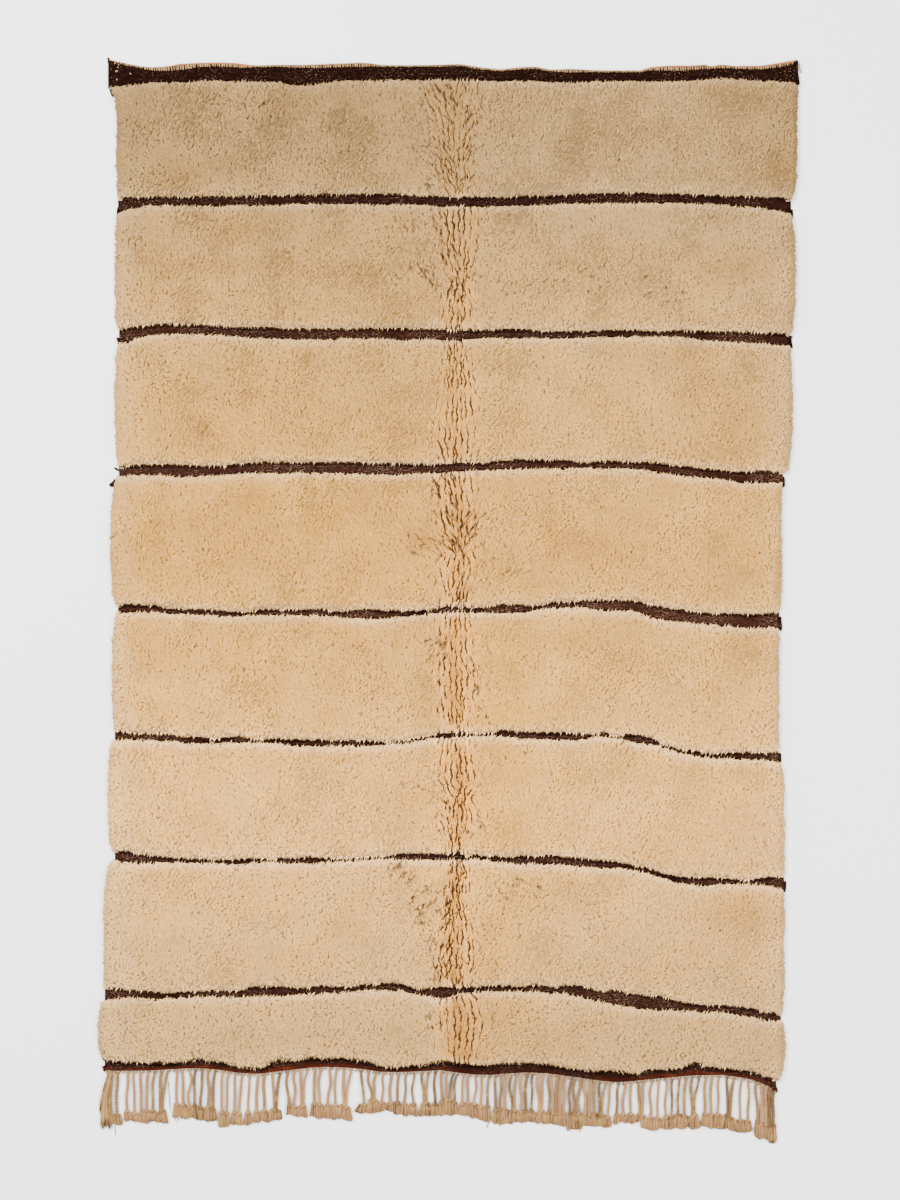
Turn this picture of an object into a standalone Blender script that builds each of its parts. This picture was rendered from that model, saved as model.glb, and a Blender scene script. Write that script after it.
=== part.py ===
"""A shag rug woven in one piece: eight cream pile panels between brown flat-woven bands, a yarn
whipped along the heading's edge, and a fringe of knotted warp cords along the foot.

Metres, +Z up. The rug lies face up on the plane z = 0, its heading towards +Y and its fringe towards
-Y. The origin is on that plane, under the middle of the whole rug.
"""

import math
import random
from collections import namedtuple

import bmesh
import bpy
from mathutils import Vector, noise

# --- Driving dimensions -------------------------------------------------------------------------

HEADING_Y = 1.5705  # the heading's outermost point, from which distances down the rug are counted
WEAVE_THICKNESS = 0.0045  # the flat-woven bands
PILE_HEIGHT = 0.0235  # top of the pile above the floor
PILE_RIM_HEIGHT = 0.009  # the pile where it turns down at the rug's long sides
SHOULDER = 0.040  # how far in from a band or a side the pile reaches its full height
LUMP_HEIGHT = 0.0085  # how much the tufted lumps of the pile raise and lower its surface
LUMP_SPACING = 0.150
FINE_LUMP_SPACING = 0.085
FINE_LUMP_SHARE = 0.5

# The pile is parted along a crease that runs down the middle of the rug.
CREASE_X = 0.021
CREASE_SWAY = 0.009
CREASE_SWAY_LENGTH = 0.74
CREASE_DEPTH = 0.0055
CREASE_HALF_WIDTH = 0.060
CREASE_SHARPNESS = 1.5  # above 1, the crease is deepest in a narrow line

# Each flat-woven band: its centre line, as distances below the heading's outermost point, and its
# width, both at five places evenly spaced from the left side to the right; and X at its two ends.
Band = namedtuple("Band", "name centres widths left right")
BANDS = (
    Band("heading", (0.036, 0.038, 0.035, 0.041, 0.039), (0.060, 0.033, 0.029, 0.030, 0.044), -0.990, 1.010),
    Band("first", (0.425, 0.408, 0.415, 0.403, 0.428), (0.044, 0.024, 0.019, 0.027, 0.044), -0.963, 0.990),
    Band("second", (0.800, 0.792, 0.799, 0.798, 0.814), (0.036, 0.022, 0.020, 0.014, 0.032), -0.961, 0.985),
    Band("third", (1.195, 1.183, 1.182, 1.175, 1.204), (0.026, 0.022, 0.018, 0.020, 0.030), -0.964, 0.967),
    Band("fourth", (1.591, 1.599, 1.598, 1.581, 1.624), (0.020, 0.018, 0.012, 0.018, 0.040), -0.964, 0.948),
    Band("fifth", (1.962, 1.976, 1.960, 1.965, 2.018), (0.018, 0.014, 0.012, 0.014, 0.018), -0.967, 0.958),
    Band("sixth", (2.310, 2.320, 2.310, 2.337, 2.385), (0.030, 0.013, 0.014, 0.018, 0.026), -0.967, 0.966),
    Band("seventh", (2.709, 2.697, 2.700, 2.725, 2.777), (0.034, 0.022, 0.013, 0.028, 0.021), -1.000, 0.961),
    Band("foot", (2.914, 2.914, 2.917, 2.948, 2.972), (0.030, 0.027, 0.019, 0.026, 0.033), -1.001, 0.944),
)

# Each pile panel lies below the band of the same place in BANDS: X of its two sides, half-way down it.
Panel = namedtuple("Panel", "name left right")
PANELS = (
    Panel("first", -0.967, 1.006),
    Panel("second", -0.973, 1.001),
    Panel("third", -0.973, 0.992),
    Panel("fourth", -0.986, 0.960),
    Panel("fifth", -0.982, 0.952),
    Panel("sixth", -0.994, 0.968),
    Panel("seventh", -1.006, 0.968),
    Panel("eighth", -1.021, 0.970),
)
BULGE_POWER = 0.4  # below 1, a panel's sides swell out quickly beside its bands

# Spacing of the points that the pile is modelled with
PILE_ROWS_AT = (0.0, 0.006, 0.018, 0.040)  # distances in from a band
PILE_COLUMNS_AT = (0.0, 0.008, 0.024, 0.055)  # distances in from a side
CREASE_COLUMNS_AT = (-0.060, -0.020, 0.0, 0.020, 0.060)  # distances from the crease
OPEN_ROW_SPACING = 0.068
OPEN_COLUMNS = 10  # spans between a side's shoulder and the crease

# Locks of pile that hang over the long sides
RIM_LOCK_REACH = 0.012
RIM_LOCK_REACH_SPREAD = 0.004
RIM_LOCK_LEAN = 0.005
RIM_SWELL = (0.001, 0.003)  # the rim bulges this far between its main points
RIM_INSET = 0.010  # the slab ends this far inside the sides given above, and its locks reach past them
RIM_CUTS = 3  # extra points on each long stretch of rim
LONG_RIM_EDGE = 0.040
LOCK_WIDTHS = (0.009, 0.032)  # a stretch of rim this long can grow a lock
LOWEST_LOCK_ROOT = 0.0054  # the pile's wall is at least this high where a lock grows
# A lock's two steps: shares of its reach and of its root's width, and its height there
LockStep = namedtuple("LockStep", "reach width height")
LOCK_STEPS = (LockStep(0.55, 0.80, 0.0075), LockStep(1.0, 0.28, 0.0030))

# The whipped edge of the heading
EDGE_DIAMETER = 0.009
EDGE_FLAT = math.cos(math.pi / 6)  # its six-sided section lies on a flat, this share of its radius down
EDGE_POINTS = 40
EDGE_END_INSET = 0.012  # it stops this far in from the heading's corners
PIECE_GAP = 0.0004  # between two pieces that touch

# The fringe, whose cords have these lengths at evenly spaced places from the left side to the right
CORD_COUNT = 90
CORD_LENGTHS = (0.166, 0.152, 0.160, 0.160, 0.153, 0.121, 0.138, 0.141, 0.143, 0.146, 0.148, 0.156, 0.146)
CORD_WIDTH = 0.0066
CORD_LENGTH_SPREAD = 0.006
CORD_SWAY = 0.0030
STRIP_WIDTH = 0.007
STRIP_HEIGHT = 0.0050
CLUMP_SIZES = (3, 6)  # fewest and most tufts that lean together
CLUMP_PULL = 0.16  # share of its distance that a tuft moves towards the middle of its clump
# How far down a cord each of its steps lies, as shares of its length, sway and lean, and its size there
CordStep = namedtuple("CordStep", "name down sway pull width height")
CORD_STEPS = (
    CordStep("upper cord", 0.30, 1.0, 0.20, 0.0064, 0.0060),
    CordStep("lower cord", 0.58, -1.0, 0.60, 0.0062, 0.0060),
    CordStep("knot", 0.74, 0.2, 0.90, 0.0076, 0.0072),
    CordStep("tuft", 0.85, 0.0, 1.00, 0.0130, 0.0090),
    CordStep("tuft end", 1.00, 0.0, 1.05, 0.0148, 0.0030),
)
SEED = 11

SHARP_ANGLE = math.radians(50)
FACES_THAT_WAY = 0.7  # a wall's normal has at least this share along the direction that it faces
CREAM = (0.690, 0.520, 0.318, 1.0)
EDGE_CREAM = (0.560, 0.360, 0.215, 1.0)
WARP_BEIGE = (0.560, 0.410, 0.270, 1.0)


# --- Helpers ------------------------------------------------------------------------------------


def smooth_through(values, fraction):
    """A smooth curve through evenly spaced values, read at a fraction of the way along them."""
    spans = len(values) - 1
    place = min(max(fraction, 0.0), 1.0) * spans
    first = min(int(place), spans - 1)
    t = place - first
    before, start = values[max(first - 1, 0)], values[first]
    end, after = values[first + 1], values[min(first + 2, spans)]
    bend = 2 * before - 5 * start + 4 * end - after
    twist = 3 * start - before - 3 * end + after
    return 0.5 * (2 * start + (end - before) * t + bend * t**2 + twist * t**3)


def blend(start, end, t):
    return start + (end - start) * t


def new_material(name, colour, roughness):
    material = bpy.data.materials.new(name)
    material.use_nodes = True
    shader = material.node_tree.nodes["Principled BSDF"]
    shader.inputs["Base Color"].default_value = colour
    shader.inputs["Roughness"].default_value = roughness
    shader.inputs["Metallic"].default_value = 0.0
    return material


def add_object(name, mesh_source, collection, material):
    mesh = bpy.data.meshes.new(name)
    mesh_source.to_mesh(mesh)
    mesh_source.free()
    mesh.materials.append(material)
    mesh.shade_smooth()
    mesh.set_sharp_from_angle(angle=SHARP_ANGLE)
    obj = bpy.data.objects.new(name, mesh)
    collection.objects.link(obj)
    return obj


def boundary_edges(bm):
    return [edge for edge in bm.edges if edge.is_boundary]


def close_down_to_floor(bm):
    """Drops a wall from the open rim to the floor and closes it with one flat underside."""
    walls = bmesh.ops.extrude_edge_only(bm, edges=boundary_edges(bm))["geom"]
    for item in walls:
        if isinstance(item, bmesh.types.BMVert):
            item.co.z = 0.0
    bmesh.ops.contextual_create(bm, geom=boundary_edges(bm))
    bmesh.ops.recalc_face_normals(bm, faces=bm.faces)


def grow_strand(bm, face, steps):
    """Extrudes a wall face that stands on the floor into a four-sided strand that rests on it.

    Each step is the strand's centre line (a point on the floor), the direction across it, its width
    and its height there."""
    for centre, across, width, height in steps:
        old_middle = face.calc_center_median()
        face = bmesh.ops.extrude_discrete_faces(bm, faces=[face])["faces"][0]
        for vert in face.verts:
            side = math.copysign(0.5 * width, (vert.co - old_middle).dot(across))
            vert.co.x = centre.x + across.x * side
            vert.co.y = centre.y + across.y * side
            if vert.co.z > 0.0:
                vert.co.z = height


# --- The rug ------------------------------------------------------------------------------------


def band_edge(band, across, below):
    """Y of a band's edge: its upper one, or with below its lower one."""
    centre = smooth_through(band.centres, across)
    half = 0.5 * smooth_through(band.widths, across)
    return HEADING_Y - centre - (half if below else -half)


def crease_x(y):
    return CREASE_X + CREASE_SWAY * math.sin(math.tau * y / CREASE_SWAY_LENGTH)


def column_places(left, right, y):
    """X of every column of points in the row at y, from the left side to the right."""
    from_left = [left + inset for inset in PILE_COLUMNS_AT]
    from_right = [right - inset for inset in reversed(PILE_COLUMNS_AT)]
    crease = [crease_x(y) + offset for offset in CREASE_COLUMNS_AT]
    steps = [step / OPEN_COLUMNS for step in range(1, OPEN_COLUMNS)]
    left_open = [blend(from_left[-1], crease[0], t) for t in steps]
    right_open = [blend(crease[-1], from_right[0], t) for t in steps]
    return from_left + left_open + crease + right_open + from_right


def panel_sides(index, t):
    """X of a panel's two sides at a fraction of the way down it, swelling out between its bands."""
    panel, above, below = PANELS[index], BANDS[index], BANDS[index + 1]
    swell = math.sin(math.pi * t) ** BULGE_POWER if 0.0 < t < 1.0 else 0.0
    inset = RIM_INSET * swell
    left = blend(blend(above.left, below.left, t), panel.left, swell) + inset
    right = blend(blend(above.right, below.right, t), panel.right, swell) - inset
    return left, right


def shoulder(distance):
    """Share of its full height that the pile has at a distance in from where it ends: a quarter round."""
    t = min(distance / SHOULDER, 1.0)
    return math.sqrt(1.0 - (1.0 - t) ** 2)


def pile_top(x, y, from_band, from_side):
    """Height of the pile's surface."""
    foot = blend(WEAVE_THICKNESS, PILE_RIM_HEIGHT, min(from_band / SHOULDER, 1.0))
    rise = min(shoulder(from_band), shoulder(from_side))
    coarse = noise.noise(Vector((x, y, 0.0)) / LUMP_SPACING)
    fine = noise.noise(Vector((x, y, 1.0)) / FINE_LUMP_SPACING)
    lumps = LUMP_HEIGHT * (coarse + FINE_LUMP_SHARE * fine)
    from_crease = abs(x - crease_x(y)) / CREASE_HALF_WIDTH
    crease = CREASE_DEPTH * max(0.0, 1.0 - from_crease) ** CREASE_SHARPNESS
    return foot + (PILE_HEIGHT + lumps - crease - foot) * rise


def row_fractions(index):
    """How far down a panel each of its rows lies, as fractions from band to band."""
    length = band_edge(BANDS[index], 0.5, True) - band_edge(BANDS[index + 1], 0.5, False)
    near = [distance / length for distance in PILE_ROWS_AT]
    open_length = length - 2 * PILE_ROWS_AT[-1]
    count = max(1, round(open_length / OPEN_ROW_SPACING))
    middle = [blend(near[-1], 1.0 - near[-1], step / count) for step in range(1, count)]
    return near + middle + [1.0 - fraction for fraction in reversed(near)], length


def woven_row(band, below):
    """The points along one edge of a flat-woven band, from the left side to the right."""
    y_middle = band_edge(band, 0.5, below)
    width = band.right - band.left
    row = []
    for x in column_places(band.left, band.right, y_middle):
        row.append((x, band_edge(band, (x - band.left) / width, below), WEAVE_THICKNESS))
    return row


def panel_rows(index):
    """The rows of points of one pile panel, from the band above it to the band below it."""
    above, below = BANDS[index], BANDS[index + 1]
    fractions, length = row_fractions(index)
    rows = []
    for t in fractions:
        if t in (0.0, 1.0):
            rows.append(woven_row(above if t == 0.0 else below, t == 0.0))
            continue
        left, right = panel_sides(index, t)
        y_middle = blend(band_edge(above, 0.5, True), band_edge(below, 0.5, False), t)
        row = []
        for x in column_places(left, right, y_middle):
            across = (x - left) / (right - left)
            y = blend(band_edge(above, across, True), band_edge(below, across, False), t)
            from_band = min(t, 1.0 - t) * length
            row.append((x, y, pile_top(x, y, from_band, min(x - left, right - x))))
        rows.append(row)
    return rows


def foot_points():
    """The rug's lower edge, from the left side to the right."""
    return [Vector((x, y)) for x, y, _ in woven_row(BANDS[-1], True)]


def heading_points():
    return [Vector((x, y)) for x, y, _ in woven_row(BANDS[0], False)]


def swell_rim(bm):
    """Divides the long stretches of the two sides and bulges them out unevenly between their ends."""
    long_rim = []
    for edge in boundary_edges(bm):
        along = edge.verts[1].co - edge.verts[0].co
        if along.length > LONG_RIM_EDGE and abs(along.y) > abs(along.x):
            long_rim.append(edge)
    added = bmesh.ops.subdivide_edges(bm, edges=long_rim, cuts=RIM_CUTS)["geom_inner"]
    added = [item for item in added if isinstance(item, bmesh.types.BMVert)]
    added.sort(key=lambda vert: (vert.co.x > 0.0, vert.co.y))
    rng = random.Random(SEED + 1)
    for vert in added:
        vert.co.x += math.copysign(rng.uniform(*RIM_SWELL), vert.co.x)


def grow_rim_locks(bm):
    """Locks of pile on every other stretch of the long sides' walls, but not at the woven bands."""
    rng = random.Random(SEED)
    for side in (-1.0, 1.0):
        walls = [f for f in bm.faces if f.normal.x * side > FACES_THAT_WAY]
        walls = [f for f in walls if min(v.co.z for v in f.verts) == 0.0]
        walls.sort(key=lambda f: f.calc_center_median().y)
        grew_last = False
        for face in walls:
            ends = sorted((v.co for v in face.verts if v.co.z == 0.0), key=lambda co: co.y)
            width = (ends[1] - ends[0]).length
            in_pile = min(v.co.z for v in face.verts if v.co.z > 0.0) > LOWEST_LOCK_ROOT
            fits = LOCK_WIDTHS[0] < width < LOCK_WIDTHS[1]
            if grew_last or not (in_pile and fits):
                grew_last = False
                continue
            grew_last = True
            root = 0.5 * (ends[0] + ends[1])
            across = (ends[1] - ends[0]).normalized()
            reach = RIM_LOCK_REACH + rng.uniform(-1.0, 1.0) * RIM_LOCK_REACH_SPREAD
            lean = rng.uniform(-1.0, 1.0) * RIM_LOCK_LEAN
            steps = []
            for step in LOCK_STEPS:
                centre = root + Vector((side * reach * step.reach, lean * step.reach, 0.0))
                steps.append((centre, across, width * step.width, step.height))
            grow_strand(bm, face, steps)


def make_rug(collection, material):
    rows = [woven_row(BANDS[0], False)]
    for index in range(len(PANELS)):
        rows += panel_rows(index)
    rows.append(woven_row(BANDS[-1], True))
    columns = len(rows[0])
    bm = bmesh.new()
    bmesh.ops.create_grid(bm, x_segments=columns - 1, y_segments=len(rows) - 1, size=0.5)
    bm.verts.ensure_lookup_table()
    # The grid's points run along X and then up Y, so its first row becomes the foot.
    places = [place for row in reversed(rows) for place in row]
    for vert, place in zip(bm.verts, places, strict=True):
        vert.co = place
    swell_rim(bm)
    close_down_to_floor(bm)
    grow_rim_locks(bm)
    return add_object("rug", bm, collection, material)


# --- The heading's edge -------------------------------------------------------------------------


def height_along(points, x):
    """Y of a line of points at x, read straight between two of them."""
    for start, end in zip(points, points[1:]):
        if x <= end.x:
            return blend(start.y, end.y, (x - start.x) / (end.x - start.x))
    return points[-1].y


def make_heading_edge(collection, material):
    points = heading_points()
    start, end = points[0].x + EDGE_END_INSET, points[-1].x - EDGE_END_INSET
    radius = 0.5 * EDGE_DIAMETER
    curve = bpy.data.curves.new("heading_edge", "CURVE")
    curve.dimensions = "3D"
    curve.bevel_depth = radius
    curve.bevel_resolution = 1
    curve.use_fill_caps = True
    spline = curve.splines.new("POLY")
    spline.points.add(EDGE_POINTS - 1)
    for step, point in enumerate(spline.points):
        x = blend(start, end, step / (EDGE_POINTS - 1))
        point.co = (x, height_along(points, x) + PIECE_GAP + radius, radius * EDGE_FLAT, 1.0)
    curve.materials.append(material)
    obj = bpy.data.objects.new("heading_edge", curve)
    collection.objects.link(obj)
    return obj


# --- The fringe ---------------------------------------------------------------------------------


def clump_pulls(rng):
    """For each cord, how far its tuft leans towards the middle of its clump."""
    pulls = []
    while len(pulls) < CORD_COUNT:
        size = min(rng.randint(*CLUMP_SIZES), CORD_COUNT - len(pulls))
        middle = 0.5 * (size - 1)
        pulls += [(middle - place) * CLUMP_PULL for place in range(size)]
    return pulls


def make_fringe(collection, material):
    foot = foot_points()
    left, right = foot[0].x, foot[-1].x
    pitch = (right - left) / CORD_COUNT
    middles = [left + (number + 0.5) * pitch for number in range(CORD_COUNT)]
    half = 0.5 * CORD_WIDTH
    stations = [left] + [x for middle in middles for x in (middle - half, middle + half)] + [right]
    bm = bmesh.new()
    bmesh.ops.create_grid(bm, x_segments=len(stations) - 1, y_segments=1, size=0.5)
    bm.verts.ensure_lookup_table()
    places = []
    for inset in (PIECE_GAP + STRIP_WIDTH, PIECE_GAP):
        places += [(x, height_along(foot, x) - inset, STRIP_HEIGHT) for x in stations]
    for vert, place in zip(bm.verts, places, strict=True):
        vert.co = place
    close_down_to_floor(bm)
    rng = random.Random(SEED + 2)
    pulls = clump_pulls(rng)
    front = [f for f in bm.faces if -f.normal.y > FACES_THAT_WAY]
    front.sort(key=lambda f: f.calc_center_median().x)
    for number, face in enumerate(front[1::2]):
        middle = middles[number]
        root = Vector((middle, height_along(foot, middle) - PIECE_GAP - STRIP_WIDTH, 0.0))
        length = smooth_through(CORD_LENGTHS, (number + 0.5) / CORD_COUNT) - PIECE_GAP - STRIP_WIDTH
        length += rng.uniform(-1.0, 1.0) * CORD_LENGTH_SPREAD
        sway = rng.uniform(-1.0, 1.0) * CORD_SWAY
        steps = []
        for step in CORD_STEPS:
            aside = sway * step.sway + pulls[number] * pitch * step.pull
            centre = root + Vector((aside, -length * step.down, 0.0))
            steps.append((centre, Vector((1.0, 0.0, 0.0)), step.width, step.height))
        grow_strand(bm, face, steps)
    return add_object("fringe", bm, collection, material)


# --- The whole rug ------------------------------------------------------------------------------


def main():
    for obj in list(bpy.data.objects):
        bpy.data.objects.remove(obj, do_unlink=True)
    collection = bpy.data.collections.new("pile_rug")
    bpy.context.scene.collection.children.link(collection)
    make_rug(collection, new_material("pile_wool", CREAM, 0.95))
    make_heading_edge(collection, new_material("edge_wool", EDGE_CREAM, 0.90))
    make_fringe(collection, new_material("fringe_wool", WARP_BEIGE, 0.90))


main()
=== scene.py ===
# %% [markdown]
# # A cream shag rug with brown bands and a knotted fringe
# The real rug is one piece of weaving: a flat wool ground, rows of knots that stand up as pile, nine brown
# bands where no knots were tied, a whipped edge at the heading, and a fringe of warp ends at the foot. The
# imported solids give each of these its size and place. This lesson builds what the eye sees around them.

# %% Load the solids
import math
from collections import namedtuple

import bpy
import numpy as np
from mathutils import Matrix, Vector, noise


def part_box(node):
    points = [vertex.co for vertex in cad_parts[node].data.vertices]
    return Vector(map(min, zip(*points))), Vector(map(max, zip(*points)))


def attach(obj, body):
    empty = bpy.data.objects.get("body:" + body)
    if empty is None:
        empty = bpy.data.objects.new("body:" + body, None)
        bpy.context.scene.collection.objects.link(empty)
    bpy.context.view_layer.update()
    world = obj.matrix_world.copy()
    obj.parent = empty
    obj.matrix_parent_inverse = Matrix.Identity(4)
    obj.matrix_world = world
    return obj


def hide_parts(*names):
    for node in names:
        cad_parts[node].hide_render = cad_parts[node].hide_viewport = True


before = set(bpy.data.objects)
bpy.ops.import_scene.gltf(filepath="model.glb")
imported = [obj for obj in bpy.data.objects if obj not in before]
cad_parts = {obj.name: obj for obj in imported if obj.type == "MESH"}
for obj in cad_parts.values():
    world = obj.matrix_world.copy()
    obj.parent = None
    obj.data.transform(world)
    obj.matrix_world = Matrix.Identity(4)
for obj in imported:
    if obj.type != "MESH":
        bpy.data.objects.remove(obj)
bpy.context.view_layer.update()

rug_low, rug_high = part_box("rug")
print("rug solid:", [round(v, 3) for v in (*rug_low, *rug_high)])

# %% [markdown]
# ## Sizes
# Sizes are in metres, with the heading towards +Y, and the tables are in whole millimetres from the middle
# of the rug. No band is straight: the weaver beat each one by hand, and the pile hangs over it unevenly. So
# a band is a list of places along it: X, and then the Y of its upper and of its lower edge.

# %% Driving sizes
MM = 0.001
WEAVE_THICKNESS = 0.0045
PILE_HEIGHT = 0.0235
PILE_RIM_HEIGHT = 0.009
SHOULDER = 0.040
LUMP_HEIGHT = 0.0085
LUMP_SPACING = 0.150
FINE_LUMP_SPACING = 0.085
FINE_LUMP_SHARE = 0.5
BULGE_POWER = 0.4
CREASE_X = 0.021
CREASE_SWAY = 0.009
CREASE_SWAY_LENGTH = 0.74
CREASE_DEPTH = 0.0055
CREASE_HALF_WIDTH = 0.060
SEED = 11

# The pile panels from the heading down: Y of the middle, X of the two sides there, and how light and how
# grey the wool is
Panel = namedtuple("Panel", "middle left right lightness greyness")
PANELS = (
    Panel(1.325, -0.967, 1.006, 0.58, 1.00),
    Panel(0.965, -0.973, 1.001, 0.74, 0.60),
    Panel(0.575, -0.973, 0.992, 0.90, 0.25),
    Panel(0.180, -0.986, 0.960, 0.98, 0.00),
    Panel(-0.210, -0.982, 0.952, 1.10, 0.18),
    Panel(-0.580, -0.994, 0.968, 1.26, 0.30),
    Panel(-0.950, -1.006, 0.968, 1.13, 0.55),
    Panel(-1.250, -1.021, 0.970, 0.95, 0.80),
)

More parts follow.
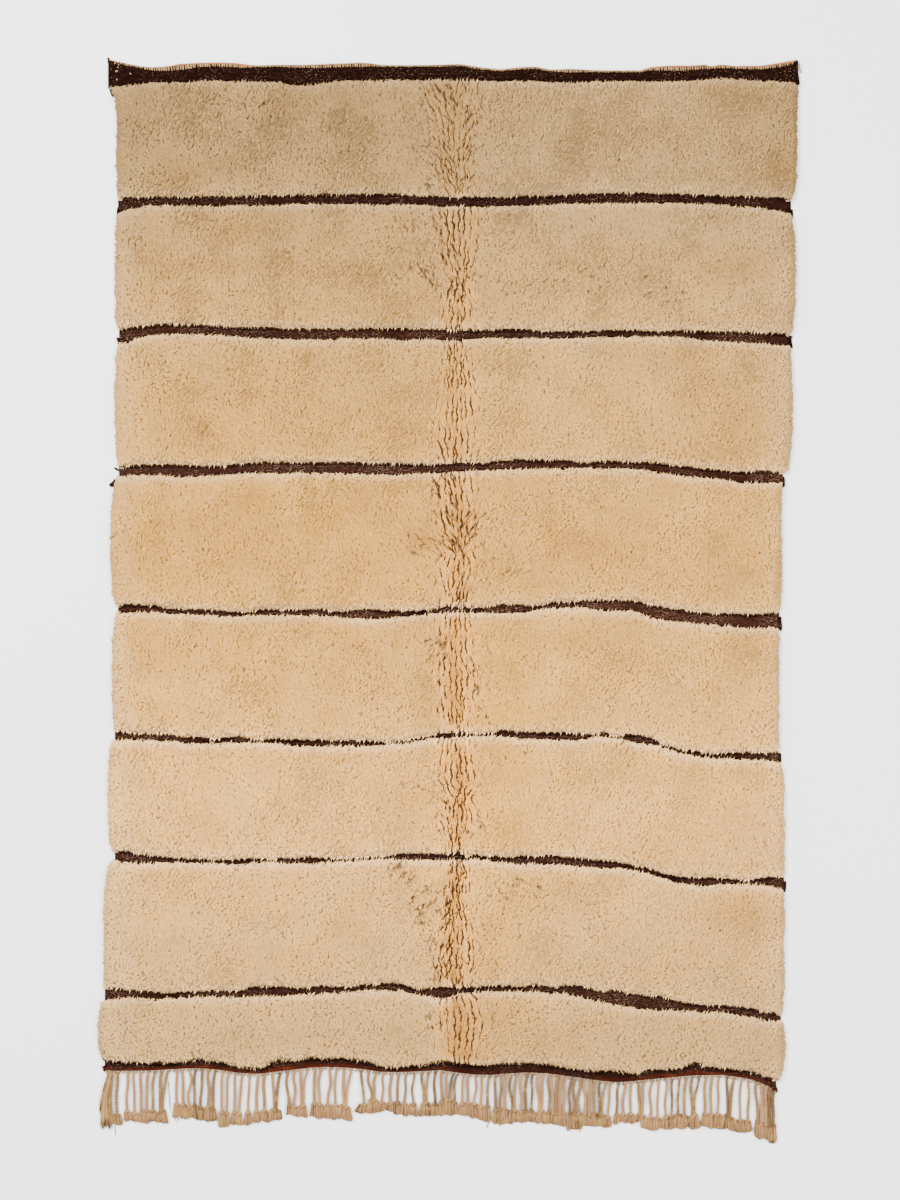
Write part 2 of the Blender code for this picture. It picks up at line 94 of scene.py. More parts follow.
# %% The edges of the brown bands
BAND_PLACES = {
    "heading": (
        (-993, 1573, 1495), (-970, 1566, 1498), (-929, 1556, 1504), (-886, 1546, 1508), (-842, 1540, 1510),
        (-784, 1543, 1510), (-726, 1552, 1516), (-668, 1554, 1516), (-610, 1550, 1514), (-547, 1552, 1512),
        (-494, 1553, 1512), (-460, 1551, 1504), (-425, 1550, 1502), (-384, 1549, 1507), (-335, 1551, 1515),
        (-262, 1552, 1516), (-204, 1554, 1516), (-146, 1553, 1518), (-30, 1554, 1519), (33, 1555, 1518),
        (86, 1545, 1516), (144, 1541, 1514), (202, 1547, 1517), (245, 1548, 1514), (289, 1540, 1511),
        (347, 1536, 1510), (434, 1538, 1514), (550, 1538, 1514), (584, 1543, 1513), (666, 1541, 1514),
        (724, 1545, 1519), (782, 1549, 1523), (840, 1547, 1520), (898, 1545, 1514), (956, 1552, 1514),
        (985, 1559, 1513), (1008, 1568, 1501),
    ),
    "first": (
        (-964, 1166, 1127), (-944, 1167, 1135), (-915, 1169, 1141), (-883, 1170, 1149), (-842, 1172, 1151),
        (-726, 1170, 1148), (-610, 1172, 1150), (-494, 1174, 1150), (-436, 1175, 1154), (-320, 1177, 1154),
        (-204, 1179, 1152), (-132, 1178, 1151), (-83, 1174, 1151), (-30, 1169, 1147), (28, 1168, 1148),
        (86, 1168, 1146), (144, 1168, 1146), (196, 1173, 1147), (260, 1174, 1150), (318, 1175, 1154),
        (405, 1179, 1156), (492, 1182, 1156), (550, 1183, 1157), (613, 1179, 1156), (724, 1176, 1154),
        (787, 1174, 1151), (845, 1172, 1146), (903, 1170, 1142), (956, 1167, 1133), (987, 1164, 1124),
    ),
    "second": (
        (-961, 788, 752), (-929, 791, 760), (-898, 795, 771), (-842, 800, 778), (-808, 802, 779),
        (-755, 800, 779), (-697, 797, 778), (-639, 793, 774), (-581, 791, 771), (-523, 791, 767),
        (-465, 788, 764), (-378, 788, 764), (-315, 788, 767), (-257, 788, 767), (-228, 790, 767),
        (-181, 789, 766), (-141, 789, 759), (-106, 789, 763), (-77, 788, 766), (-25, 784, 763),
        (28, 782, 762), (86, 784, 768), (213, 786, 769), (242, 782, 769), (318, 779, 768), (376, 780, 769),
        (434, 785, 771), (550, 784, 772), (613, 779, 773), (677, 784, 770), (724, 780, 763),
        (840, 780, 756), (927, 777, 751), (982, 771, 744),
    ),
    "third": (
        (-961, 390, 362), (-929, 390, 367), (-895, 394, 369), (-842, 395, 368), (-784, 393, 363),
        (-726, 390, 366), (-686, 393, 367), (-651, 389, 369), (-610, 397, 374), (-576, 400, 375),
        (-523, 403, 373), (-465, 400, 374), (-431, 400, 377), (-378, 401, 374), (-291, 402, 373),
        (-228, 399, 370), (-146, 397, 369), (-16, 395, 377), (57, 401, 381), (106, 398, 382),
        (138, 406, 385), (187, 408, 386), (260, 408, 387), (341, 408, 388), (364, 402, 389),
        (405, 400, 389), (434, 405, 389), (497, 404, 388), (555, 402, 384), (608, 399, 376),
        (666, 390, 368), (724, 383, 361), (782, 380, 356), (834, 373, 348), (898, 376, 347),
        (964, 372, 344),
    ),
    "fourth": (
        (-964, -14, -30), (-929, -11, -29), (-857, -14, -29), (-825, -22, -31), (-784, -25, -34),
        (-726, -26, -36), (-668, -28, -39), (-628, -33, -42), (-593, -34, -40), (-564, -29, -39),
        (-535, -24, -38), (-494, -26, -38), (-448, -23, -39), (-407, -26, -38), (-378, -23, -38),
        (-344, -30, -41), (-303, -30, -45), (-257, -25, -47), (-187, -27, -48), (-141, -30, -40),
        (-88, -30, -36), (-54, -26, -33), (-13, -17, -28), (28, -16, -27), (59, -23, -28), (91, -21, -30),
        (120, -14, -32), (161, -10, -32), (196, -9, -29), (231, -16, -25), (271, -11, -19), (294, -3, -17),
        (364, -3, -15), (393, 1, -16), (434, 2, -23), (480, 5, -24), (521, 1, -24), (552, -4, -33),
        (581, -10, -46), (610, -18, -51), (654, -25, -54), (697, -30, -61), (755, -36, -64),
        (813, -37, -70), (857, -39, -77), (903, -39, -72), (927, -35, -69), (953, -33, -80),
    ),
    "fifth": (
        (-973, -376, -401), (-944, -380, -397), (-900, -385, -401), (-842, -384, -401), (-799, -390, -402),
        (-767, -396, -407), (-738, -393, -407), (-709, -401, -409), (-668, -401, -407), (-637, -395, -405),
        (-610, -391, -405), (-581, -401, -406), (-500, -400, -407), (-471, -403, -413), (-422, -403, -418),
        (-364, -403, -417), (-291, -405, -416), (-219, -406, -417), (-181, -407, -410), (-138, -405, -410),
        (-112, -401, -406), (-83, -395, -400), (-48, -388, -393), (-7, -383, -391), (33, -383, -389),
        (80, -385, -388), (126, -384, -387), (146, -376, -388), (190, -380, -394), (260, -382, -396),
        (318, -382, -400), (364, -384, -402), (399, -386, -393), (425, -385, -391), (445, -380, -391),
        (465, -391, -394), (489, -391, -395), (512, -387, -402), (550, -390, -409), (581, -398, -410),
        (610, -413, -417), (639, -423, -429), (668, -432, -438), (712, -435, -445), (744, -443, -450),
        (773, -443, -452), (802, -438, -452), (854, -439, -454), (912, -441, -457), (953, -436, -464),
    ),
    "sixth": (
        (-973, -726, -748), (-953, -724, -749), (-927, -728, -754), (-889, -735, -757), (-842, -740, -755),
        (-808, -744, -752), (-767, -747, -755), (-726, -745, -755), (-680, -749, -755), (-642, -751, -759),
        (-602, -747, -758), (-564, -745, -753), (-512, -750, -753), (-477, -745, -757), (-434, -745, -757),
        (-405, -742, -756), (-373, -746, -753), (-332, -746, -750), (-286, -746, -749), (-239, -742, -745),
        (-196, -740, -743), (-161, -735, -745), (-115, -732, -746), (-59, -733, -747), (-13, -736, -747),
        (22, -729, -744), (45, -740, -745), (74, -735, -743), (106, -740, -746), (126, -739, -753),
        (161, -743, -754), (190, -739, -759), (236, -740, -758), (289, -737, -759), (329, -743, -760),
        (364, -743, -766), (407, -751, -768), (451, -753, -770), (497, -757, -769), (532, -768, -778),
        (567, -774, -781), (596, -783, -793), (625, -793, -800), (654, -799, -811), (697, -801, -819),
        (741, -801, -821), (776, -803, -817), (842, -809, -815), (871, -810, -816), (900, -804, -819),
        (932, -800, -823), (967, -798, -834),
    ),
    "seventh": (
        (-1002, -1119, -1154), (-982, -1122, -1150), (-956, -1125, -1144), (-927, -1130, -1145),
        (-898, -1130, -1148), (-854, -1135, -1150), (-822, -1139, -1145), (-782, -1134, -1145),
        (-724, -1132, -1142), (-680, -1128, -1141), (-648, -1130, -1145), (-619, -1130, -1145),
        (-590, -1123, -1142), (-561, -1118, -1141), (-477, -1117, -1139), (-448, -1124, -1137),
        (-407, -1122, -1133), (-376, -1114, -1132), (-341, -1117, -1131), (-315, -1121, -1130),
        (-286, -1118, -1128), (-254, -1114, -1124), (-213, -1110, -1121), (-173, -1107, -1123),
        (-141, -1112, -1125), (-115, -1121, -1133), (-80, -1126, -1139), (-48, -1118, -1145),
        (-10, -1119, -1143), (13, -1121, -1136), (42, -1121, -1129), (74, -1118, -1126),
        (106, -1115, -1127), (161, -1115, -1128), (204, -1118, -1127), (242, -1112, -1128),
        (286, -1120, -1133), (306, -1123, -1131), (329, -1114, -1132), (367, -1116, -1141),
        (407, -1122, -1151), (434, -1131, -1158), (480, -1128, -1165), (523, -1138, -1171),
        (558, -1144, -1177), (599, -1144, -1182), (654, -1158, -1182), (697, -1167, -1183),
        (741, -1173, -1186), (787, -1172, -1187), (834, -1178, -1195), (874, -1181, -1202),
        (903, -1191, -1209), (958, -1197, -1216),
    ),
    "foot": (
        (-1002, -1328, -1356), (-979, -1334, -1357), (-941, -1340, -1357), (-869, -1341, -1356),
        (-819, -1342, -1353), (-782, -1339, -1351), (-753, -1333, -1350), (-724, -1330, -1350),
        (-680, -1336, -1353), (-651, -1342, -1357), (-622, -1349, -1362), (-593, -1354, -1364),
        (-564, -1357, -1366), (-538, -1354, -1364), (-521, -1338, -1362), (-492, -1330, -1358),
        (-448, -1333, -1353), (-405, -1326, -1348), (-361, -1330, -1346), (-318, -1326, -1347),
        (-274, -1332, -1350), (-236, -1340, -1355), (-202, -1350, -1360), (-161, -1355, -1361),
        (-120, -1350, -1360), (-77, -1346, -1358), (-28, -1338, -1355), (25, -1342, -1363),
        (71, -1349, -1368), (115, -1346, -1369), (167, -1342, -1365), (219, -1342, -1362),
        (274, -1344, -1364), (309, -1352, -1368), (349, -1357, -1374), (393, -1364, -1380),
        (436, -1363, -1386), (465, -1360, -1389), (494, -1368, -1390), (538, -1371, -1386),
        (567, -1363, -1383), (596, -1357, -1380), (654, -1360, -1375), (683, -1350, -1372),
        (709, -1340, -1370), (741, -1351, -1370), (784, -1355, -1369), (828, -1358, -1374),
        (871, -1367, -1382), (906, -1378, -1395), (927, -1384, -1405), (944, -1389, -1417),
    ),
}
BANDS = [np.array(places).T * MM for places in BAND_PLACES.values()]
FOOT = BANDS[-1]
PILE_OVER_EDGE = 0.0015  # the wool above hides this much of the upper edge of a band between two panels
LOWER_EDGE_DOWN = {0: 0.0065, 2: 0.0030, 8: 0.0035}  # and these bands reach down this much further
for band in BANDS[1:-1]:
    band[1:] -= PILE_OVER_EDGE
for number, down in LOWER_EDGE_DOWN.items():
    BANDS[number][2] -= down
print(len(BANDS), "bands and", len(PANELS), "panels of pile")

# %% The heading's outermost line
HEADING_PLACES = (
    (-990, 1572), (-958, 1564), (-929, 1558), (-898, 1552), (-866, 1549), (-837, 1550), (-808, 1554),
    (-782, 1558), (-726, 1561), (-663, 1562), (-622, 1560), (-581, 1554), (-492, 1556), (-436, 1556),
    (-373, 1558), (-318, 1560), (-260, 1562), (-231, 1560), (-199, 1556), (-144, 1555), (-28, 1556),
    (30, 1558), (88, 1549), (144, 1542), (202, 1549), (248, 1550), (291, 1542), (349, 1544), (436, 1540),
    (552, 1540), (581, 1548), (622, 1552), (695, 1553), (741, 1556), (753, 1551), (784, 1556), (828, 1552),
    (900, 1552), (958, 1561), (985, 1566), (1002, 1569),
)
HEADING = np.array(HEADING_PLACES).T * MM

# %% [markdown]
# The rug was folded along its middle for years. The pile has parted there, in a strip that narrows and
# widens on its way down: Y, and then the X of its left and right side.

# %% The strip of the crease
CREASE_PLACES = (
    (1512, -71, 91), (1454, -59, 80), (1396, -36, 62), (1280, -25, 45), (1193, -10, 57), (1121, -25, 74),
    (1019, -19, 68), (932, 7, 51), (845, -13, 54), (787, -22, 48), (729, -4, 42), (584, -19, 54),
    (468, -30, 62), (410, -13, 54), (352, -30, 51), (265, -25, 62), (164, 1, 48), (91, -22, 74),
    (4, -10, 39), (-54, -25, 51), (-228, -30, 62), (-358, -10, 45), (-431, -19, 51), (-518, -28, 62),
    (-567, -1, 45), (-634, -19, 59), (-706, -4, 33), (-779, 4, 45), (-866, -7, 39), (-953, -10, 57),
    (-1040, -28, 62), (-1112, -10, 42), (-1156, -25, 68), (-1214, -25, 86), (-1330, -16, 65),
)
CREASE = np.array(CREASE_PLACES[::-1]).T * MM
CREASE_FADE = 0.020  # the strip fades out over this much beside it

# %% [markdown]
# ## Reading the tables
# These functions take whole arrays of points, because the pile needs the answer at some hundred thousand
# places. The height of the pile is the same formula that shaped the solid, so both have the same lumps.


# %% Edges, sides and the crease
def blend(start, end, t):
    """A value between two others, at a fraction of the way."""
    return start + (end - start) * t


def smooth_step(t):
    t = np.clip(t, 0.0, 1.0)
    return t * t * (3.0 - 2.0 * t)


def ramp(value, start, over):
    """0 up to the start, rising smoothly to 1 over the given distance."""
    return smooth_step((value - start) / over)


def bell(distance, half_width):
    """1 where the distance is nothing, fading out over the half width."""
    return np.exp(-((distance / half_width) ** 2))


def spots_at(x, y, z):
    """An array of points from their coordinates, of which some may be single numbers."""
    return np.stack(np.broadcast_arrays(x, y, z), axis=-1)


def band_edge(band, x, below):
    """Y of a band's edge at x: its upper one, or with below its lower one."""
    return np.interp(x, band[0], band[2 if below else 1])


def heading_line(x):
    """Y of the heading's outermost line."""
    return np.interp(x, HEADING[0], HEADING[1])


def crease_x(y):
    """X of the fold, which is the line where the solid's furrow lies."""
    return CREASE_X + CREASE_SWAY * np.sin(math.tau * y / CREASE_SWAY_LENGTH)


def crease_sides(y):
    """X of the left and right side of the crease's strip."""
    return np.interp(y, CREASE[0], CREASE[1]), np.interp(y, CREASE[0], CREASE[2])


def crease_mask(x, y):
    """1 in the strip of the crease, fading out beside it."""
    left, right = crease_sides(y)
    outside = np.maximum(0.0, np.abs(x - 0.5 * (left + right)) - 0.5 * (right - left))
    return bell(outside, CREASE_FADE)


def panel_sides(index, t):
    """X of a panel's two sides at fractions of the way down it, swelling out between its bands."""
    panel, above, below = PANELS[index], BANDS[index], BANDS[index + 1]
    swell = np.sin(math.pi * np.clip(t, 0.0, 1.0)) ** BULGE_POWER
    left = blend(blend(above[0, 0], below[0, 0], t), panel.left, swell)
    right = blend(blend(above[0, -1], below[0, -1], t), panel.right, swell)
    return left, right


def in_panel(index, x, y):
    """Distance in from the nearer band and from the nearer side, and X of both sides there."""
    top = band_edge(BANDS[index], x, True)
    bottom = band_edge(BANDS[index + 1], x, False)
    left, right = panel_sides(index, (top - y) / (top - bottom))
    return np.minimum(top - y, y - bottom), np.minimum(x - left, right - x), left, right


# %% The lumpy surface of the pile
HASH_STEPS = (127.1, 311.7, 17.3)  # odd steps that scatter the values of neighbouring corners
HASH_SIZE = 43758.5453


def perlin(x, y, layer, spacing):
    """Lumps about the given distance apart, the same ones that shaped the solid."""
    spots = zip(np.ravel(x) / spacing, np.ravel(y) / spacing)
    values = [noise.noise(Vector((a, b, layer / spacing))) for a, b in spots]
    return np.reshape(values, np.shape(x))


def shoulder(distance):
    """Share of the full height at a distance in from where the pile ends: a quarter round."""
    t = np.clip(distance / SHOULDER, 0.0, 1.0)
    return np.sqrt(1.0 - (1.0 - t) ** 2)


def pile_top(x, y, from_band, from_side):
    """Height of the pile at a place, and at distances in from its band and from its side."""
    foot = blend(WEAVE_THICKNESS, PILE_RIM_HEIGHT, np.clip(from_band / SHOULDER, 0.0, 1.0))
    rise = np.minimum(shoulder(from_band), shoulder(from_side))
    lumps = perlin(x, y, 0.0, LUMP_SPACING) + FINE_LUMP_SHARE * perlin(x, y, 1.0, FINE_LUMP_SPACING)
    from_crease = np.abs(x - crease_x(y)) / CREASE_HALF_WIDTH
    crease = CREASE_DEPTH * np.maximum(0.0, 1.0 - from_crease) ** 1.5
    return foot + (PILE_HEIGHT + LUMP_HEIGHT * lumps - crease - foot) * rise


def uneven(x, y, spacing, layer):
    """Smooth random values from -1 to 1, about the spacing apart. Each layer has its own."""
    x, y = np.asarray(x, float) / spacing, np.asarray(y, float) / spacing
    column, row = np.floor(x), np.floor(y)
    across, up = smooth_step(x - column), smooth_step(y - row)

    def corner(i, j):
        angle = (column + i) * HASH_STEPS[0] + (row + j) * HASH_STEPS[1] + layer * HASH_STEPS[2]
        value = np.sin(angle) * HASH_SIZE
        return value - np.floor(value)

    low = blend(corner(0, 0), corner(1, 0), across)
    high = blend(corner(0, 1), corner(1, 1), across)
    return 2.0 * blend(low, high, up) - 1.0


def layered(x, y, waves, start=0.0, shift=0.0):
    """Uneven values added up: how strong, how far apart, and the layer of each."""
    total = start
    for strength, spacing, layer in waves:
        total = total + strength * uneven(x, y, spacing, layer + shift)
    return total


rng = np.random.default_rng(SEED)
sample = pile_top(np.array([0.3]), np.array([0.0]), from_band=0.1, from_side=0.5)
print("pile height right of the middle:", round(float(sample[0]), 4))

# %% [markdown]
# ## Camera, floor and light
# The rug was seen from straight above, so the camera looks straight down from high up with a long lens,
# which keeps the sides parallel. The heading is towards the top of the picture. The floor is plain and
# pale, and the light is broad and soft: one large panel up and to the left, a weaker one to the right.

# %% Camera
VIEW_HEIGHT = 3.48
VIEW_CENTRE = (-0.0015, 0.0044)
LENS, FILM_HEIGHT = 0.100, 0.036
camera_data = bpy.data.cameras.new("camera")
camera_data.lens = LENS * 1000
camera_data.sensor_fit = "VERTICAL"
camera_data.sensor_height = FILM_HEIGHT * 1000
camera_data.clip_end = 60.0
camera = bpy.data.objects.new("camera", camera_data)
camera.location = (*VIEW_CENTRE, VIEW_HEIGHT * LENS / FILM_HEIGHT)
bpy.context.scene.collection.objects.link(camera)
bpy.context.scene.camera = camera
print("camera height", round(camera.location.z, 2), "m")


# %% Floor and light
FLOOR_SIZE = 24.0
FLOOR_DROP = 0.0005  # the floor lies this far under the rug, so that no two faces share a level
SKY_STRENGTH = 1.75


def add_alone(primitive, name, **sizes):
    """A new primitive, with nothing else selected."""
    bpy.ops.object.select_all(action="DESELECT")
    primitive(**sizes)
    made = bpy.context.object
    made.name = name
    made.data.name = name
    return made


def plain_finish(name, colour, roughness):
    material = bpy.data.materials.new(name)
    material.use_nodes = True
    shader = material.node_tree.nodes["Principled BSDF"]
    shader.inputs["Base Color"].default_value = (*colour, 1.0)
    shader.inputs["Roughness"].default_value = roughness
    return material


def area_light(name, place, size, power):
    lamp = bpy.data.lights.new(name, "AREA")
    lamp.shape = "DISK"
    lamp.size = size
    lamp.energy = power
    obj = bpy.data.objects.new(name, lamp)
    obj.location = place
    obj.rotation_euler = (-Vector(place)).to_track_quat("-Z", "Y").to_euler()
    bpy.context.scene.collection.objects.link(obj)


floor = add_alone(bpy.ops.mesh.primitive_plane_add, "floor", size=FLOOR_SIZE, location=(0, 0, -FLOOR_DROP))
floor.data.materials.append(plain_finish("floor_white", (0.95, 0.95, 0.95), 0.9))

world = bpy.data.worlds.new("studio")
bpy.context.scene.world = world
world.use_nodes = True
sky = world.node_tree.nodes["Background"]
sky.inputs["Color"].default_value = (1.0, 1.0, 1.0, 1.0)
sky.inputs["Strength"].default_value = SKY_STRENGTH
area_light("key", place=(-4.2, 2.6, 5.2), size=2.6, power=950.0)
area_light("fill", place=(4.5, -1.5, 6.0), size=5.0, power=640.0)

# %% [markdown]
# ## Writing finishes as sums
# A procedural finish is mostly arithmetic on noise and masks. Wrapping a node's output in a small class
# lets that arithmetic be written as Python, and each operator then adds its own Math node.


# %% Socket arithmetic
class Mask:
    """One number at each point of a surface, from a node of a finish."""

    def __init__(self, finish, output):
        self.finish, self.output = finish, output

    def maths(self, operation, *values, clamp=False):
        settings = {"operation": operation, "use_clamp": clamp}
        return self.finish.node("ShaderNodeMath", settings, dict(enumerate(values)))

    def __add__(self, other):
        return self.maths("ADD", self, other)

    def __mul__(self, other):
        return self.maths("MULTIPLY", self, other)

    def __sub__(self, other):
        return self.maths("SUBTRACT", self, other)

    def __rsub__(self, other):
        return self.maths("SUBTRACT", other, self)

    def clamped(self):
        return self.maths("ADD", self, 0.0, clamp=True)

    def above(self, limit, softness):
        """0 below the limit, rising to 1 over the softness."""
        return ((self - limit) * (1.0 / softness)).clamped()


class Finish:
    """A material with a Principled shader, and short ways to add nodes to it."""

    def __init__(self, name, roughness):
        self.material = plain_finish(name, (0.5, 0.5, 0.5), roughness)
        self.tree = self.material.node_tree
        self.shader = self.tree.nodes["Principled BSDF"]
        self.shader.inputs["Specular IOR Level"].default_value = 0.0  # dry wool has no gloss

    def node(self, kind, settings, sockets, output=0):
        made = self.tree.nodes.new(kind)
        for key, value in settings.items():
            setattr(made, key, value)
        for key, value in sockets.items():
            if isinstance(value, Mask):
                self.tree.links.new(value.output, made.inputs[key])
            else:
                made.inputs[key].default_value = value
        return Mask(self, made.outputs[output])

    def attribute(self, name):
        return self.node("ShaderNodeAttribute", {"attribute_name": name}, {}, "Fac")

    def place(self, stretch=(1.0, 1.0, 1.0)):
        spot = self.node("ShaderNodeTexCoord", {}, {}, "Object")
        return self.node("ShaderNodeMapping", {}, {"Vector": spot, "Scale": stretch})

    def noise(self, scale, stretch=(1.0, 1.0, 1.0), detail=2.0):
        sockets = {"Vector": self.place(stretch), "Scale": scale, "Detail": detail}
        return self.node("ShaderNodeTexNoise", {}, sockets)

    def mix(self, share, first, second, how="MIX"):
        sockets = {0: share, 6: first, 7: second}
        return self.node("ShaderNodeMix", {"data_type": "RGBA", "blend_type": how}, sockets, 2)

    def shade(self, colour, lightness):
        """The colour made lighter or darker by a mask."""
        grey = self.node("ShaderNodeCombineColor", {}, {0: lightness, 1: lightness, 2: lightness})
        return self.mix(1.0, colour, grey, "MULTIPLY")

    def tint(self, share, colour, by):
        """The colour, with a share of it multiplied by another one."""
        return self.mix(share, colour, self.mix(1.0, colour, by, "MULTIPLY"))

    def paint(self, colour):
        self.tree.links.new(colour.output, self.shader.inputs["Base Color"])

    def bump(self, height, distance):
        return self.node("ShaderNodeBump", {}, {"Height": height, "Distance": distance})

    def set_normal(self, normal):
        self.tree.links.new(normal.output, self.shader.inputs["Normal"])

    def lifted_normal(self, share):
        """The surface normal turned part of the way up, as light passes through thin wool."""
        own = self.node("ShaderNodeNewGeometry", {}, {}, "Normal")
        up = (0.0, 0.0, 1.0)
        mixed = self.node("ShaderNodeMix", {"data_type": "VECTOR"}, {0: share, 4: own, 5: up}, 1)
        return self.node("ShaderNodeVectorMath", {"operation": "NORMALIZE"}, {0: mixed})

    def paint_yarn(self, colour, grain, contrast, lightness, depth):
        """Paints a yarn in the light and dark of its grain, which also stands up a little."""
        self.paint(self.shade(colour, grain * contrast + lightness))
        self.set_normal(self.bump(grain, depth))


# %% [markdown]
# ## Meshes made of many copies
# Pile, stitches and fringe repeat a few small shapes thousands of times. Each shape is modelled once with
# Blender's tools. Its points are then read into an array, and one array sum places all the copies, each
# with its own size, lean and twist. The result is one joined mesh. Each face also gets its own small
# triangle in a UV map, so that a baked texture has room for every lock.


# %% Arrays to meshes
def points_of(mesh):
    spots = np.empty(len(mesh.vertices) * 3)
    mesh.vertices.foreach_get("co", spots)
    return spots.reshape(-1, 3)


def read_shape(obj):
    """The points and triangles of a modelled shape, which is then removed."""
    mesh = obj.data
    mesh.calc_loop_triangles()
    points = points_of(mesh)
    triangles = np.array([t.vertices[:] for t in mesh.loop_triangles])
    bpy.data.objects.remove(obj)
    return points, triangles


def own_triangles(count):
    """UV of each corner when every face has half of its own small square."""
    side = math.ceil(math.sqrt((count + 1) // 2))
    square = np.arange(count) // 2
    corner = np.stack([square % side, square // side], axis=1)[:, None, :]
    lower = np.array([(0.06, 0.06), (0.84, 0.06), (0.06, 0.84)])
    upper = np.array([(0.94, 0.94), (0.16, 0.94), (0.94, 0.16)])
    within = np.where((np.arange(count) % 2 == 0)[:, None, None], lower, upper)
    return (corner + within) / side


def join_copies(name, copies, shape, masks, finish):
    """One mesh from copies of a shape, as an array of (copies, points, 3)."""
    count, size = copies.shape[:2]
    faces = (shape[1][None] + (np.arange(count) * size)[:, None, None]).reshape(-1, 3)
    mesh = bpy.data.meshes.new(name)
    mesh.vertices.add(count * size)
    mesh.vertices.foreach_set("co", copies.reshape(-1).astype(np.float32))
    mesh.loops.add(len(faces) * 3)
    mesh.loops.foreach_set("vertex_index", faces.reshape(-1).astype(np.int32))
    mesh.polygons.add(len(faces))
    mesh.polygons.foreach_set("loop_start", np.arange(len(faces), dtype=np.int32) * 3)
    uv = mesh.uv_layers.new(name="OFBake")
    uv.data.foreach_set("uv", own_triangles(len(faces)).reshape(-1).astype(np.float32))
    mesh.update(calc_edges=True)
    mesh.shade_smooth()
    for key, values in masks.items():
        values = values if np.ndim(values) == 2 else np.reshape(values, (-1, 1))
        every = np.ascontiguousarray(np.broadcast_to(values, (count, size)), dtype=np.float32)
        mesh.attributes.new(key, "FLOAT", "POINT").data.foreach_set("value", every.reshape(-1))
    mesh.materials.append(finish.material)
    obj = bpy.data.objects.new(name, mesh)
    bpy.context.scene.collection.objects.link(obj)
    print(name, count, "copies,", len(faces), "triangles")
    return obj


# %% [markdown]
# A lock of wool is a flattened cone: wide and thin where it is tied, a point at its tip. Three sides are
# enough for the pile, which is only ever seen as a crowd. A longer lock, for the rim and the tufts, has
# two more rings, so that it can curl. A brushed lock keeps its width almost to its end.


# %% Model the locks
def start_editing(kind="VERT"):
    """Opens the active object for editing, with all of it selected."""
    bpy.ops.object.mode_set(mode="EDIT")
    bpy.ops.mesh.select_mode(type=kind)
    bpy.ops.mesh.select_all(action="SELECT")


def finish_editing():
    """Turns every face outwards and closes the object again."""
    bpy.ops.mesh.select_all(action="SELECT")
    bpy.ops.mesh.normals_make_consistent(inside=False)
    bpy.ops.object.mode_set(mode="OBJECT")


def squashed(made, amounts):
    """The shape of a new object, squashed along its axes."""
    start_editing()
    bpy.ops.transform.resize(value=amounts)
    finish_editing()
    return read_shape(made)


def model_lock(name, rings=()):
    """A cone one unit long, with rings at the given heights, each swollen to its width."""
    sizes = {"vertices": 3, "radius1": 1.0, "radius2": 0.0, "depth": 1.0, "location": (0, 0, 0.5)}
    lock = add_alone(bpy.ops.mesh.primitive_cone_add, name, **sizes)
    bpy.ops.object.transform_apply(location=True)
    start_editing()
    for height, width in rings:
        bpy.ops.mesh.select_all(action="SELECT")
        bpy.ops.mesh.bisect(plane_co=(0, 0, height), plane_no=(0, 0, 1))
        swell = width / (1.0 - height)
        bpy.ops.transform.resize(value=(swell, swell, 1.0), center_override=(0, 0, height))
    finish_editing()
    return read_shape(lock)


SHORT_LOCK = model_lock("short_lock")
LONG_LOCK = model_lock("long_lock", ((0.35, 1.05), (0.75, 0.70)))
BRUSHED_LOCK = model_lock("brushed_lock", ((0.40, 0.95), (0.86, 0.90)))
print("short lock:", len(SHORT_LOCK[1]), "triangles, long lock:", len(LONG_LOCK[1]))


# %% Lay locks from roots to tips
LOCK_CURL = 1.35  # above 1 a lock rises first and then leans over


def lay_locks(shape, roots, tips, widths, flatness, twist, curl=LOCK_CURL):
    """Copies of a lock, each from its root to its tip, its thin side down."""
    reach = tips - roots
    along = reach / np.linalg.norm(reach, axis=1)[:, None]
    across = spots_at(reach[:, 1], -reach[:, 0], 0.0)
    across /= np.linalg.norm(across, axis=1)[:, None] + 1e-9  # a lock straight up has no such side
    under = np.cross(along, across)
    turn, lift = np.cos(twist)[:, None], np.sin(twist)[:, None]
    wide, thin = across * turn + under * lift, under * turn - across * lift
    copies = np.empty((len(roots), len(shape[0]), 3))
    for number, (x, y, z) in enumerate(shape[0]):
        ground = roots[:, :2] + reach[:, :2] * z**curl
        rise = roots[:, 2:] + reach[:, 2:] * (1.0 - (1.0 - z) ** curl)
        centre = np.concatenate([ground, rise], axis=1)
        copies[:, number] = centre + wide * (x * widths)[:, None] + thin * (y * widths * flatness)[:, None]
    return copies


def keep_above(copies, level):
    """Presses the copies flat where they would sink into the floor."""
    copies[:, :, 2] = np.maximum(copies[:, :, 2], level)
    return copies


# %% [markdown]
# ## The woven ground
# Under the pile the rug is a thin flat cloth. It shows only in the bands, where brown weft is packed over
# the warps in fine ribs. So the sheet has many rows of points across each band and few under the pile.
# The underside is one flat face on the floor.

# %% Model the woven ground
GROUND_COLUMNS = 180
RIBS_PER_BAND = 6
RIB_HEIGHT = 0.0007
RIB_WAVE = 0.35  # and a rib varies by this share of it
UNDER_EDGE = 0.0015  # the cloth ends this far below the heading's outermost line
PANEL_ROWS = 5
PANEL_GROUND_TOP = 0.003
SIDE_TUCK = 0.013  # the cloth ends this far inside the pile's sides
